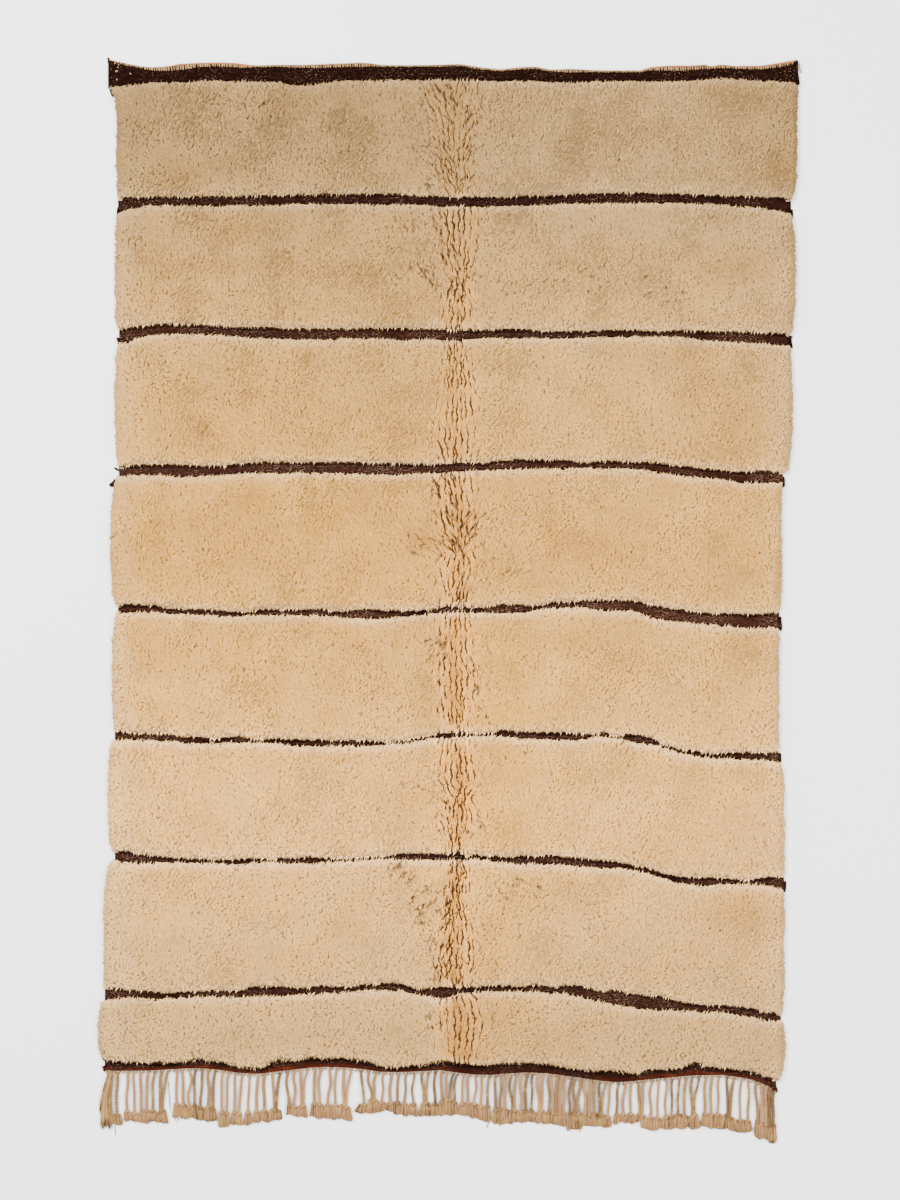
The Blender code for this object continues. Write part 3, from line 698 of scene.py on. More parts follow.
# X along the foot in millimetres, and how rust red its last rows of weft are there
RUST_PLACES = (
    (-1005, 0.35), (-958, 0.25), (-871, 0.70), (-726, 0.80), (-682, 0.60), (-582, 0.80), (-547, 0.50),
    (-520, 0.90), (-465, 0.95), (-436, 0.60), (-378, 0.75), (-306, 0.80), (-262, 0.50), (-117, 0.60),
    (-30, 0.45), (13, 0.30), (172, 0.20), (260, 0.10), (405, 0.12), (448, 0.40), (550, 0.50), (584, 0.75),
    (695, 0.85), (753, 0.70), (825, 0.70), (869, 0.40), (912, 0.30), (944, 0.50),
)
RUST = np.array(RUST_PLACES).T * [[MM], [1.0]]
RUST_FROM, RUST_OVER = 0.42, 0.30  # where the red begins, as a share of the way down the foot
# How light the brown is in each band, from the heading down
BAND_TONES = (0.50, 0.80, 1.15, 1.35, 1.50, 1.30, 1.20, 1.25, 0.80)


def ground_rows():
    """Arrays of x, y and height, and of how rust red and how light the cloth is, row by row."""
    across = np.linspace(0.0, 1.0, GROUND_COLUMNS + 1)
    rows = []
    for number, band in enumerate(BANDS):
        x = blend(band[0, 0], band[0, -1], across)
        top, bottom = band_edge(band, x, False), band_edge(band, x, True)
        if number == 0:
            top = heading_line(x) - UNDER_EDGE
        red = np.interp(x, RUST[0], RUST[1]) if band is FOOT else np.zeros_like(x)
        steps = 2 * RIBS_PER_BAND
        for step in range(steps + 1):
            y = blend(top, bottom, step / steps)
            wave = RIB_WAVE * uneven(x, y, 0.05, 3.0)
            height = WEAVE_THICKNESS - RIB_HEIGHT * (step % 2) * (1.0 + wave)
            red_here = red * ramp(step / steps, RUST_FROM, RUST_OVER)
            rows.append((x, y, height, red_here, np.full_like(x, BAND_TONES[number])))
        if number == len(PANELS):
            break
        for step in range(1, PANEL_ROWS + 1):
            t = step / (PANEL_ROWS + 1)
            left, right = panel_sides(number, t)
            x = blend(left + SIDE_TUCK, right - SIDE_TUCK, across)
            y = blend(band_edge(band, x, True), band_edge(BANDS[number + 1], x, False), t)
            rows.append((x, y, np.full_like(x, PANEL_GROUND_TOP), np.zeros_like(x), np.ones_like(x)))
    return rows


def grid_of(name, rows):
    """A grid whose rows of points, from the top down, lie at the given x, y and height."""
    cells = {"x_subdivisions": len(rows[0][0]) - 1, "y_subdivisions": len(rows) - 1}
    grid = add_alone(bpy.ops.mesh.primitive_grid_add, name, **cells, size=1.0)
    places = np.array([spots_at(*row[:3]) for row in reversed(rows)])
    grid.data.vertices.foreach_set("co", places.reshape(-1).astype(np.float32))
    return grid


def close_underneath(level):
    """Extrudes the active object's open rim down to a level and closes it with one face."""
    start_editing("EDGE")
    bpy.ops.mesh.select_all(action="DESELECT")
    bpy.ops.mesh.select_non_manifold()
    bpy.ops.mesh.extrude_region_move(TRANSFORM_OT_translate={"value": (0.0, 0.0, 0.0)})
    bpy.ops.transform.resize(value=(1.0, 1.0, 0.0), center_override=(0.0, 0.0, level))
    bpy.ops.mesh.edge_face_add()
    finish_editing()


def add_mask(obj, name, values):
    """A value at every point of the object, which its finish can read."""
    layer = obj.data.attributes.new(name, "FLOAT", "POINT")
    layer.data.foreach_set("value", np.asarray(values, dtype=np.float32).reshape(-1))


rows = ground_rows()
ground = grid_of("woven_ground", rows)
close_underneath(0.0)
for mask, column in (("redness", 3), ("brownness", 4)):
    values = np.concatenate([row[column] for row in reversed(rows)])
    add_mask(ground, mask, np.append(values, np.ones(len(ground.data.vertices) - len(values))))
ground.data.shade_smooth()
print("woven ground:", len(ground.data.polygons), "faces")

# %% [markdown]
# The bands are dark brown wool, with paler hairs in it that lie along the ribs, and warps that grin
# through as rows of tiny specks. At the foot the last rows of weft are rust red.

# %% Finish of the woven bands
BROWN = (0.0120, 0.0042, 0.0028, 1.0)
BROWN_HIGH = (0.0300, 0.0115, 0.0070, 1.0)
FLECK = (0.200, 0.125, 0.080, 1.0)
RUST_RED = (0.050, 0.0078, 0.0036, 1.0)
RUST_ORANGE = (0.092, 0.0190, 0.0060, 1.0)
flatweave = Finish("flatweave_wool", 0.95)
streaks = flatweave.noise(1.0, (70.0, 330.0, 90.0), 2.0)
more = flatweave.attribute("brownness") * 0.075
specks = (flatweave.noise(1.0, (150.0, 420.0, 260.0), 1.0) + more).above(0.690, 0.05)
areas = flatweave.noise(9.0).above(0.38, 0.20)
brown = flatweave.mix(streaks.above(0.46, 0.26), BROWN, BROWN_HIGH)
brown = flatweave.shade(brown, flatweave.attribute("brownness"))
brown = flatweave.mix(specks * areas * 0.70, brown, FLECK)
rust = flatweave.mix(flatweave.noise(1.0, (22.0, 60.0, 22.0)).above(0.50, 0.16), RUST_RED, RUST_ORANGE)
rust_share = flatweave.attribute("redness") * (streaks.above(0.30, 0.30) * 0.6 + 0.4)
flatweave.paint(flatweave.mix(rust_share, brown, rust))
flatweave.set_normal(flatweave.bump(streaks, 0.0012))
ground.data.materials.append(flatweave.material)

# %% [markdown]
# ## The imported wool under the tips
# Between the knots the wool is too dense to look into. A lumpy slab in each panel stands for it, about two
# thirds as high as the pile, and the locks are rooted on its surface. Where the pile is parted along the
# crease, the slab is painted darker, as painted shade deep in the parting.

# %% Model the imported wool
UNDERWOOL_SHARE = 0.64
UNDERWOOL_COLUMNS = 110
UNDERWOOL_ROWS = 18
UNDERWOOL_INSET = 0.007
UNDERWOOL_END = 0.02  # at its ends the slab is as wide as the panel at this share of the way down


def underwool_panel(index):
    """The slab of one panel, closed underneath."""
    across = np.linspace(0.0, 1.0, UNDERWOOL_COLUMNS + 1)
    above, below = BANDS[index], BANDS[index + 1]
    rows = []
    for t in np.linspace(0.0, 1.0, UNDERWOOL_ROWS + 1):
        left, right = panel_sides(index, blend(UNDERWOOL_END, 1.0 - UNDERWOOL_END, t))
        x = blend(left + SIDE_TUCK, right - SIDE_TUCK, across)
        top = band_edge(above, x, True) - UNDERWOOL_INSET
        bottom = band_edge(below, x, False) + UNDERWOOL_INSET
        y = blend(top, bottom, t)
        from_band, from_side, _, _ = in_panel(index, x, y)
        high = pile_top(x, y, from_band, from_side)
        rows.append((x, y, blend(PANEL_GROUND_TOP, high, UNDERWOOL_SHARE)))
    slab = grid_of("underwool", rows)
    close_underneath(PANEL_GROUND_TOP)
    return slab


slabs = [underwool_panel(index) for index in range(len(PANELS))]
bpy.ops.object.select_all(action="DESELECT")
for slab in slabs:
    slab.select_set(True)
bpy.context.view_layer.objects.active = slabs[0]
bpy.ops.object.join()
underwool = bpy.context.object
underwool.name = "underwool"
spots = points_of(underwool.data)
add_mask(underwool, "crease", crease_mask(spots[:, 0], spots[:, 1]))
underwool.data.shade_smooth()

UNDERWOOL_CREAM = (0.430, 0.270, 0.140, 1.0)
# The deep colour is painted shade, for the depth of the pile where the crease parts it
UNDERWOOL_SHADE = (0.062, 0.029, 0.014, 1.0)
packed = Finish("packed_wool", 1.0)
packed_colour_and_shade = packed.mix(packed.attribute("crease").above(0.18, 0.25), UNDERWOOL_CREAM, UNDERWOOL_SHADE)
packed.paint(packed.shade(packed_colour_and_shade, packed.noise(180.0) * 0.3 + 0.85))
underwool.data.materials.append(packed.material)
print("packed wool:", len(underwool.data.polygons), "faces")

# %% [markdown]
# ## Rows of knots
# Pile is knotted in rows across the rug, so the roots lie on a staggered grid, a little disturbed. Each
# lock leans towards the heading, the way this pile was brushed down, but in swirls. Below a band, a lock is
# held back so that its tip ends on the band's edge, and at the sides the locks turn outwards and down.

# %% Roots of the pile
KNOT_SPACING = 0.0063
CREASE_KNOT_SPACING = 0.0044  # finer there, so that the partings are drawn sharply
FINE_ABOVE = 0.30
KNOT_WANDER = 0.35
KNOT_MARGIN = 0.03  # the grid of knots runs on this far past the sides, before it is cut
ROW_SPACING = 0.866  # of the spacing within a row
ROOT_FROM_BAND = 0.0034
ROOT_FROM_SIDE = 0.008


def knots_of(index, spacing, in_crease):
    """Roots of one panel's locks: x, y, row, spacing and panel, and the place in the panel."""
    x_low, x_high = PANELS[index].left - KNOT_MARGIN, PANELS[index].right + KNOT_MARGIN
    every_x = np.linspace(x_low, x_high, 400)
    y_high = float(band_edge(BANDS[index], every_x, True).max())
    y_low = float(band_edge(BANDS[index + 1], every_x, False).min())
    columns = np.arange(x_low, x_high, spacing)
    row_spacing = ROW_SPACING * spacing
    row_numbers = np.arange(math.floor(y_low / row_spacing), math.ceil(y_high / row_spacing))
    x, row = np.meshgrid(columns, row_numbers)
    y = row * row_spacing + rng.uniform(-KNOT_WANDER, KNOT_WANDER, x.shape) * spacing
    x = x + np.where(row % 2 == 0, 0.0, 0.5 * spacing)
    x = x + rng.uniform(-KNOT_WANDER, KNOT_WANDER, x.shape) * spacing
    from_band, from_side, left, right = in_panel(index, x, y)
    kept = (from_band > ROOT_FROM_BAND) & (from_side > ROOT_FROM_SIDE)
    kept &= (crease_mask(x, y) > FINE_ABOVE) == in_crease
    alike = (np.full(x.shape, value) for value in (spacing, index))
    facts = (x, y, row, *alike, from_band, from_side, left, right)
    return np.stack([fact[kept] for fact in facts])


knots = [knots_of(index, KNOT_SPACING, False) for index in range(len(PANELS))]
knots += [knots_of(index, CREASE_KNOT_SPACING, True) for index in range(len(PANELS))]
knots = np.concatenate(knots, axis=1)
knots = knots[:, np.argsort(knots[1], kind="stable")]
knot_x, knot_y, knot_row, knot_size, knot_panel, from_band, from_side, side_left, side_right = knots
knot_count = len(knot_x)
print(knot_count, "knots")

# %% Lean and height of each lock
ROOT_SINK = 0.0015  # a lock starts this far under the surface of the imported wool
HEIGHT_SPREAD = 0.10
LEAST_HEIGHT = 0.004
LOCK_REACH = 1.45  # of its height
LEAST_REACH = 0.0085
LEAN = 1.10  # how far a lock leans towards the heading, for each unit of its reach
# How strong the swirls are, how far apart, and their layer: of the lean across the rug and along it
SWIRLS_ACROSS = ((1.2, 0.085, 1.0), (0.45, 0.026, 7.0))
SWIRLS_ALONG = ((0.35, 0.11, 2.0), (0.35, 0.024, 8.0))
WANDER_ACROSS, WANDER_ALONG = 0.60, 0.30  # how far single locks stray from the lean of the rest
LOCK_WIDTH = 1.78  # of the spacing of the knots
CREASE_LOCK_WIDTH = 1.45
WIDTH_SPREAD = 0.25
NARROW_NEAR_BAND = 0.012  # within this distance of a band the locks get narrower
NARROWEST = 0.6
LOCK_FLATNESS = 0.25
SIDE_TURN_AT = 0.035
SIDE_LEAN = 1.1
SIDE_TIP_HEIGHT = 0.0055
SIDE_TIP_RISE = 0.0190
TIP_SHORT_OF_BAND = 0.0042
TIP_SHORT_OF_HEADING = 0.0050
TIP_SPREAD = 0.0026
TIP_LIFT = 0.001
RAGGED_TIPS = ((1.2, 0.0095, 60.0), (0.8, 0.005, 70.0))


def side_height(inside):
    """How high the pile may stand at a distance in from its side."""
    return SIDE_TIP_HEIGHT + SIDE_TIP_RISE * shoulder(inside * SHOULDER / SIDE_TURN_AT)


def locks_of_pile():
    """Root and tip of every lock of the pile."""
    crease = crease_mask(knot_x, knot_y)
    high = pile_top(knot_x, knot_y, from_band, from_side)
    root_z = blend(PANEL_GROUND_TOP, high, UNDERWOOL_SHARE) - ROOT_SINK
    height = (high - root_z) * (1.0 + HEIGHT_SPREAD * rng.uniform(-1.0, 1.0, knot_count))
    height = np.maximum(height, LEAST_HEIGHT)
    reach = np.maximum(LOCK_REACH * height, LEAST_REACH)
    calmer = 1.0 - 0.7 * crease  # in the crease the locks stray less
    lean_x = layered(knot_x, knot_y, SWIRLS_ACROSS) * (1.0 - 0.6 * crease)
    lean_x = lean_x + WANDER_ACROSS * rng.normal(0.0, 1.0, knot_count) * calmer
    lean_y = layered(knot_x, knot_y, SWIRLS_ALONG, start=LEAN)
    lean_y += WANDER_ALONG * rng.normal(0.0, 1.0, knot_count) * calmer
    side = np.where(knot_x > 0.0, 1.0, -1.0)
    outward = smooth_step(1.0 - (from_side - ROOT_FROM_SIDE) / SIDE_TURN_AT)
    lean_x = blend(lean_x, side * SIDE_LEAN, outward)
    lean_y *= 1.0 - 0.5 * outward
    tip_x, tip_y = knot_x + lean_x * reach, knot_y + lean_y * reach
    for index, band in enumerate(BANDS[:-1]):
        mine = knot_panel == index
        short_of = TIP_SHORT_OF_BAND if index else TIP_SHORT_OF_HEADING
        limit = band_edge(band, tip_x[mine], True) - short_of
        jagged = layered(tip_x[mine], 0.0, RAGGED_TIPS, shift=index)
        limit += TIP_SPREAD * (jagged + rng.normal(0.0, 0.5, mine.sum()))
        tip_y[mine] = np.minimum(tip_y[mine], np.maximum(limit, knot_y[mine] + 0.001))
    tip_z = np.minimum(root_z + height, side_height(np.minimum(tip_x - side_left, side_right - tip_x)))
    roots = spots_at(knot_x, knot_y, np.minimum(root_z, tip_z))
    return roots, spots_at(tip_x, tip_y, tip_z + TIP_LIFT)


roots, tips = locks_of_pile()
widths = np.where(knot_size < KNOT_SPACING, CREASE_LOCK_WIDTH, LOCK_WIDTH) * knot_size
widths *= 1.0 + WIDTH_SPREAD * rng.uniform(-1.0, 1.0, knot_count)
widths *= blend(1.0, NARROWEST, smooth_step(1.0 - from_band / NARROW_NEAR_BAND))
twists = rng.uniform(-0.4, 0.4, knot_count)
pile = lay_locks(SHORT_LOCK, roots, tips, widths, LOCK_FLATNESS, twists)
print("tips reach up to", round(float(tips[:, 2].max()), 4))

# %% [markdown]
# ## Partings
# Where the rug was folded the pile has parted into long wavy cracks, and short ones lie scattered over
# the rest of it. Each parting is a wavy line. Every lock beside it is pushed back to its own side, so the
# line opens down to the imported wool, and the wool next to it is raised into a soft ridge.

# %% Lay out the partings
# A parting of the crease keeps its place between the strip's sides, as a share of the way across, and
# any other one has a straight line of its own
Parting = namedtuple("Parting", "x y length tilt phase gap share")
# Groups, given one by one: centre, half sizes, count, shortest and longest, and the lean of their lines, as
# x for each unit of y
Group = namedtuple("Group", "x y half_width half_height count shortest longest tilt")
GROUPS = (
    (-0.032, 1.340, 0.034, 0.170, 100, 0.014, 0.032, -0.58),
    (0.044, 1.350, 0.036, 0.150, 56, 0.012, 0.026, 0.42),
    (0.000, 1.450, 0.080, 0.050, 20, 0.010, 0.024, -0.40),
    (-0.018, 1.030, 0.030, 0.110, 26, 0.014, 0.036, -0.50),
    (-0.095, 0.945, 0.060, 0.030, 20, 0.012, 0.034, -1.20),
    (-0.150, 1.080, 0.060, 0.040, 14, 0.008, 0.016, -0.60),
    (0.090, 0.960, 0.060, 0.040, 12, 0.008, 0.018, -1.30),
    (-0.015, 0.260, 0.030, 0.090, 26, 0.014, 0.040, -0.50),
    (-0.052, 0.165, 0.060, 0.022, 28, 0.012, 0.034, -1.20),
    (0.066, 0.210, 0.030, 0.050, 16, 0.012, 0.030, 0.70),
    (0.060, 0.080, 0.040, 0.080, 20, 0.010, 0.024, 0.40),
    (0.190, 0.088, 0.040, 0.010, 7, 0.008, 0.016, 1.50),
    (-0.036, -0.145, 0.025, 0.035, 16, 0.012, 0.026, 0.80),
    (0.070, -0.230, 0.040, 0.120, 26, 0.010, 0.022, -0.30),
    (-0.080, -0.590, 0.080, 0.060, 26, 0.008, 0.020, -0.80),
    (0.085, -0.655, 0.045, 0.018, 10, 0.010, 0.024, -1.30),
    (-0.060, -0.880, 0.055, 0.055, 28, 0.012, 0.036, 0.80),
    (-0.140, -0.785, 0.035, 0.022, 12, 0.012, 0.030, 0.90),
    (-0.035, -1.035, 0.035, 0.055, 18, 0.014, 0.036, 0.40),
    (0.180, -0.815, 0.070, 0.040, 18, 0.010, 0.024, -1.20),
    (-0.040, -1.215, 0.035, 0.040, 16, 0.010, 0.022, 0.20),
    (0.690, 0.900, 0.150, 0.040, 20, 0.006, 0.016, 1.20),
    (0.320, 0.930, 0.150, 0.040, 20, 0.006, 0.016, 1.20),
    (-0.600, 1.440, 0.110, 0.030, 20, 0.006, 0.014, 0.60),
    (-0.540, 1.310, 0.150, 0.090, 24, 0.006, 0.014, -0.60),
)
GROUPS = [Group(*row) for row in GROUPS]
CREASE_GAP = 0.0015
SMALL_GAP = 0.0012
CREASE_TOP, CREASE_BOTTOM = 1.500, -1.350
CREASE_LENGTHS = (0.030, 0.100)
# Share of the way across the strip, and how strong the partings are there
LANES = (
    (-0.30, 0.50), (-0.06, 0.75), (0.14, 0.95), (0.32, 1.15), (0.50, 1.05), (0.68, 1.15), (0.86, 0.95),
    (1.08, 0.70), (1.32, 0.45),
)
# How strong they are in each panel
CREASE_STRENGTHS = (0.42, 0.98, 1.05, 1.12, 1.00, 1.10, 1.25, 1.00)
GROUP_DENSITY = 0.9
GROUP_APART_X, GROUP_APART_Y = 0.0085, 0.020  # no two of a group are nearer than this
GROUP_TRIES = 12
SCATTER = 900
WAVE = 0.0042
WAVE_LENGTH = 0.040
FINE_WAVE_LENGTH = 0.017


def crease_partings():
    """Partings one below the other along each lane of the crease."""
    band_lines = [-band[1].mean() for band in BANDS]
    made = []
    for share, strength in LANES:
        y = CREASE_TOP - rng.uniform(0.0, 0.04)
        while y > CREASE_BOTTOM:
            length = rng.uniform(*CREASE_LENGTHS) * strength
            panel = int(np.clip(np.searchsorted(band_lines, -y) - 1, 0, len(PANELS) - 1))
            gap = CREASE_GAP * rng.uniform(0.55, 1.20) * strength * CREASE_STRENGTHS[panel]
            aside = rng.normal(0.0, 0.0016)
            middle = y - 0.5 * length
            made.append(Parting(aside, middle, length, 0.0, rng.uniform(0.0, math.tau), gap, share))
            y -= length + rng.uniform(0.002, 0.016) + 0.05 * (1.0 - min(strength, 1.0)) * rng.random()
    return made


def group_partings():
    """Partings of the groups, no two of them too near each other."""
    made = []
    for group in GROUPS:
        for _ in range(round(GROUP_DENSITY * group.count)):
            for _ in range(GROUP_TRIES):
                x = group.x + rng.uniform(-1.1, 1.1) * group.half_width
                y = group.y + rng.uniform(-1.1, 1.1) * group.half_height
                steps = (((x - other.x) / GROUP_APART_X, (y - other.y) / GROUP_APART_Y) for other in made)
                if all(math.hypot(*step) > 1.0 for step in steps):
                    break
            else:
                continue
            length = rng.uniform(group.shortest, group.longest)
            tilt = group.tilt + rng.normal(0.0, 0.22)
            gap = SMALL_GAP * rng.uniform(0.5, 1.1)
            made.append(Parting(x, y, length, tilt, rng.uniform(0.0, math.tau), gap, None))
    return made


def scattered_partings():
    """Small partings over the whole rug, most of them in patches."""
    made = []
    while len(made) < SCATTER:
        x, y = rng.uniform(-1.0, 1.0), rng.uniform(-1.4, 1.5)
        if rng.random() > 0.20 + 0.80 * float(uneven(x, y, 0.12, 14.0) > 0.2):
            continue
        gap = SMALL_GAP * rng.uniform(0.10, 0.50)
        length = rng.uniform(0.006, 0.018)
        made.append(Parting(x, y, length, rng.normal(0.0, 1.0), rng.uniform(0.0, math.tau), gap, None))
    return made


main_partings = crease_partings()
partings = main_partings + group_partings() + scattered_partings()
print(len(main_partings), "partings along the crease,", len(partings), "in all")


# %% Open the partings
def parting_x(parting, y):
    """X of a parting's wavy line at y."""
    along = y - parting.y
    size = WAVE * min(1.0, parting.length / 0.05)
    wave = size * np.sin(math.tau * along / WAVE_LENGTH + parting.phase)
    fine = 0.4 * size * np.sin(math.tau * along / FINE_WAVE_LENGTH + 2.0 * parting.phase)
    if parting.share is None:
        return parting.x + parting.tilt * along + wave + fine
    left, right = crease_sides(y)
    return blend(left, right, parting.share) + parting.x + 0.6 * wave + fine


PARTING_SIDE = 0.022  # locks this near a parting are looked at
PUSH_LIMIT = 0.010
FAINT_GAP = 0.00066  # a gap wider than this shows at once
SHOWS_AT_LEAST = 0.35
EDGE_FADE = 0.0006  # the edge of a gap fades out over this and a share of the gap
EDGE_FADE_SHARE = 0.55
EDGE_SINK = 0.003
RIDGE_AT, RIDGE_WIDTH, RIDGE_RISE = 0.0055, 0.0035, 0.0030
# Painted shade in the gaps of the partings, and a painted highlight on the raised wool beside those of the
# crease
crack_shade = np.zeros(pile.shape[:2])
highlit_ridges = np.zeros(pile.shape[:2])
for number, parting in enumerate(partings):
    half = 0.5 * parting.length
    first = np.searchsorted(knot_y, parting.y - half - 0.03)
    last = np.searchsorted(knot_y, parting.y + half + 0.02)
    block = pile[first:last]
    middle = block.mean(axis=1)
    aside = middle[:, 0] - parting_x(parting, middle[:, 1])
    near = np.nonzero(np.abs(aside) < PARTING_SIDE)[0]
    side = np.where(aside[near] >= 0.0, 1.0, -1.0)[:, None]
    locks = block[near]
    depth = np.clip(1.0 - ((locks[:, :, 1] - parting.y) / half) ** 2, 0.0, None)
    taper = np.sqrt(depth)
    distance = (locks[:, :, 0] - parting_x(parting, locks[:, :, 1])) * side
    push = np.clip(parting.gap * taper - distance, 0.0, PUSH_LIMIT) * (depth > 0.0)
    locks[:, :, 0] += push * side
    strength = parting.gap / CREASE_GAP
    if parting.gap > FAINT_GAP:
        strength = min(1.0, SHOWS_AT_LEAST + (1.0 - SHOWS_AT_LEAST) * parting.gap / CREASE_GAP)
    edge = bell(np.clip(distance, 0.0, None), EDGE_FADE + EDGE_FADE_SHARE * parting.gap) * taper
    if number < len(main_partings):
        ridge = bell(distance - RIDGE_AT, RIDGE_WIDTH) * taper
        locks[:, :, 2] += (RIDGE_RISE * ridge - EDGE_SINK * edge) * strength
        highlit_ridges[first + near] = np.maximum(highlit_ridges[first + near], ridge * strength)
    block[near] = locks
    crack_shade[first + near] = np.maximum(crack_shade[first + near], edge * strength)
print("cracked points:", int((crack_shade > 0.5).sum()))

# %% [markdown]
# ## Colour of the pile
# Old cream wool is never one colour. It is yellower in broad patches, browner in a few stains, and paler
# beside the bands. The crease is warmer, with painted shade in a line along its middle, and in the lower
# panels the wool right of it is less grey. The gaps of the partings are painted dark as shade, and the
# raised wool beside those of the crease gets a painted highlight. Masks on the points of the locks carry
# these places, and noise in the shader adds the finer mottling and painted shadow specks.

# %% Masks of the pile
# Stains and yellowed patches: centre, half width, half height, strength
Stain = namedtuple("Stain", "x y half_width half_height strength")
STAINS = (
    (-0.78, 1.25, 0.07, 0.041, 0.60), (-0.34, 1.44, 0.20, 0.041, 0.25), (0.95, 1.25, 0.04, 0.051, 0.60),
    (-0.63, 1.07, 0.08, 0.034, 0.90), (-0.71, 0.98, 0.20, 0.027, 0.50),
    (-0.35, 0.98, 0.27, 0.027, 0.15), (0.49, 1.00, 0.37, 0.034, 0.35), (0.80, 0.96, 0.14, 0.041, 0.50),
    (0.32, 0.91, 0.20, 0.020, 0.25), (-0.13, 1.10, 0.08, 0.027, 0.35), (-0.71, 0.50, 0.06, 0.048, 0.80),
    (-0.56, 0.59, 0.20, 0.102, 0.25), (-0.30, 0.59, 0.14, 0.136, 0.08), (0.82, 0.50, 0.06, 0.068, 0.80),
    (0.72, 0.59, 0.10, 0.136, 0.32), (-0.59, 0.30, 0.08, 0.041, 0.85), (-0.76, 0.15, 0.20, 0.102, 0.45),
    (-0.35, 0.25, 0.17, 0.051, 0.14), (-0.22, 0.15, 0.15, 0.085, 0.20),
    (-0.52, 0.11, 0.20, 0.068, 0.30), (0.36, 0.15, 0.17, 0.068, 0.60), (0.46, 0.25, 0.14, 0.041, 0.15),
    (0.27, 0.05, 0.14, 0.034, 0.40), (0.80, 0.18, 0.14, 0.051, 0.10), (-0.07, 0.18, 0.08, 0.051, 0.50),
    (0.48, -0.16, 0.10, 0.068, 0.75), (0.32, -0.11, 0.17, 0.041, 0.60),
    (-0.42, -0.23, 0.17, 0.085, 0.30), (-0.80, -0.16, 0.12, 0.068, 0.35),
    (-0.52, -0.12, 0.24, 0.041, 0.25), (0.12, -0.23, 0.10, 0.102, 0.30),
    (0.83, -0.12, 0.10, 0.034, 0.20), (-0.12, -0.57, 0.10, 0.061, 0.60),
    (0.12, -0.50, 0.10, 0.055, 0.50), (0.43, -0.53, 0.12, 0.061, 0.30),
    (-0.49, -1.03, 0.14, 0.041, 0.25), (-0.39, -0.91, 0.14, 0.068, 0.20),
    (0.15, -0.91, 0.14, 0.068, 0.15), (0.12, -1.21, 0.07, 0.041, 0.45),
    (0.84, -0.90, 0.10, 0.060, 0.80),
)
STAINS = [Stain(*row) for row in STAINS]
HALO_WIDTH = 0.014
CORE_HALF_WIDTH = 0.022  # shade is painted in a narrow line along the middle of the crease, this wide
CORE_LEFT = 0.003  # how far that line lies left of the fold
WARM_SIDE_X = 0.12  # and in the lower panels the wool at its right is less grey
WARM_SIDE_HALF_WIDTH = 0.15
RIDGE_HIGHLIGHT = 6.0  # how much lighter the raised wool beside a parting is painted, as a painted highlight


def stain_mask(x, y):
    """The strongest stain at each place, with ragged edges."""
    total = np.zeros_like(x)
    ragged = 1.0 + 0.5 * uneven(x, y, 0.05, 31.0)
    for stain in STAINS:
        away = ((x - stain.x) / stain.half_width) ** 2 + ((y - stain.y) / stain.half_height) ** 2
        total = np.maximum(total, stain.strength * np.exp(-away * ragged))
    return total


def halo_mask(x, y):
    """1 at the edge of a band, fading within the pile beside it."""
    nearest = np.full_like(x, 1.0)
    for band in BANDS:
        for below in (False, True):
            nearest = np.minimum(nearest, np.abs(y - band_edge(band, x, below)))
    return bell(nearest, HALO_WIDTH)


def by_panel(y, field):
    """A value of the panels at y, blended from the middle of each to the middle of the next."""
    upwards = PANELS[::-1]
    return np.interp(y, [panel.middle for panel in upwards], [getattr(panel, field) for panel in upwards])


def crease_shade_line(x, y):
    """Painted shade: 1 in the line along the middle of the crease, weaker at the heading and wider at the
    foot.
    """
    near_foot = ramp(-y, 1.10, 0.15)
    line = bell(x - crease_x(y) + CORE_LEFT, CORE_HALF_WIDTH * (1.0 + 0.9 * near_foot))
    return line * (1.0 - 0.7 * ramp(y, 0.0, 1.2) + 0.25 * ramp(-y, 0.0, 0.4) + 0.15 * near_foot)


def wool_masks(copies, crack_shades, tones):
    """The masks of the pile's finish at every point of the copies."""
    x, y = copies[:, :, 0], copies[:, :, 1]
    top_share = ramp(y, 1.0, 0.4)
    darker = 0.16 * ramp(np.abs(x), 0.75, 0.3) + 0.09 * ramp(-x, -0.1, 0.5)
    tones = tones if np.ndim(tones) == 2 else np.broadcast_to(tones[:, None], x.shape)
    right = ramp(x, -0.3, 0.8) * (1.0 + y)
    beside_edge = ramp(np.abs(x), 0.88, 0.10)
    warm_side = bell(x - WARM_SIDE_X, WARM_SIDE_HALF_WIDTH) * ramp(-y, -0.1, 0.4)
    return {
        "crack_shade": crack_shades,
        "crease": crease_mask(x, y),
        "core_shade": crease_shade_line(x, y),
        "halo": halo_mask(x, y),
        "stain": stain_mask(x, y),
        "lightness": by_panel(y, "lightness") * (1.0 - top_share * darker) * (1.0 + 0.07 * right),
        "greyness": by_panel(y, "greyness") + 0.12 * right + 0.5 * beside_edge - 0.35 * warm_side,
        "tone": tones,
    }


# Each lock's own tone, with a painted highlight on the raised wool beside the partings of the crease
pile_tones_and_highlights = rng.uniform(-1.0, 1.0, knot_count)[:, None] + RIDGE_HIGHLIGHT * highlit_ridges
pile_masks = wool_masks(pile, crack_shade, pile_tones_and_highlights)

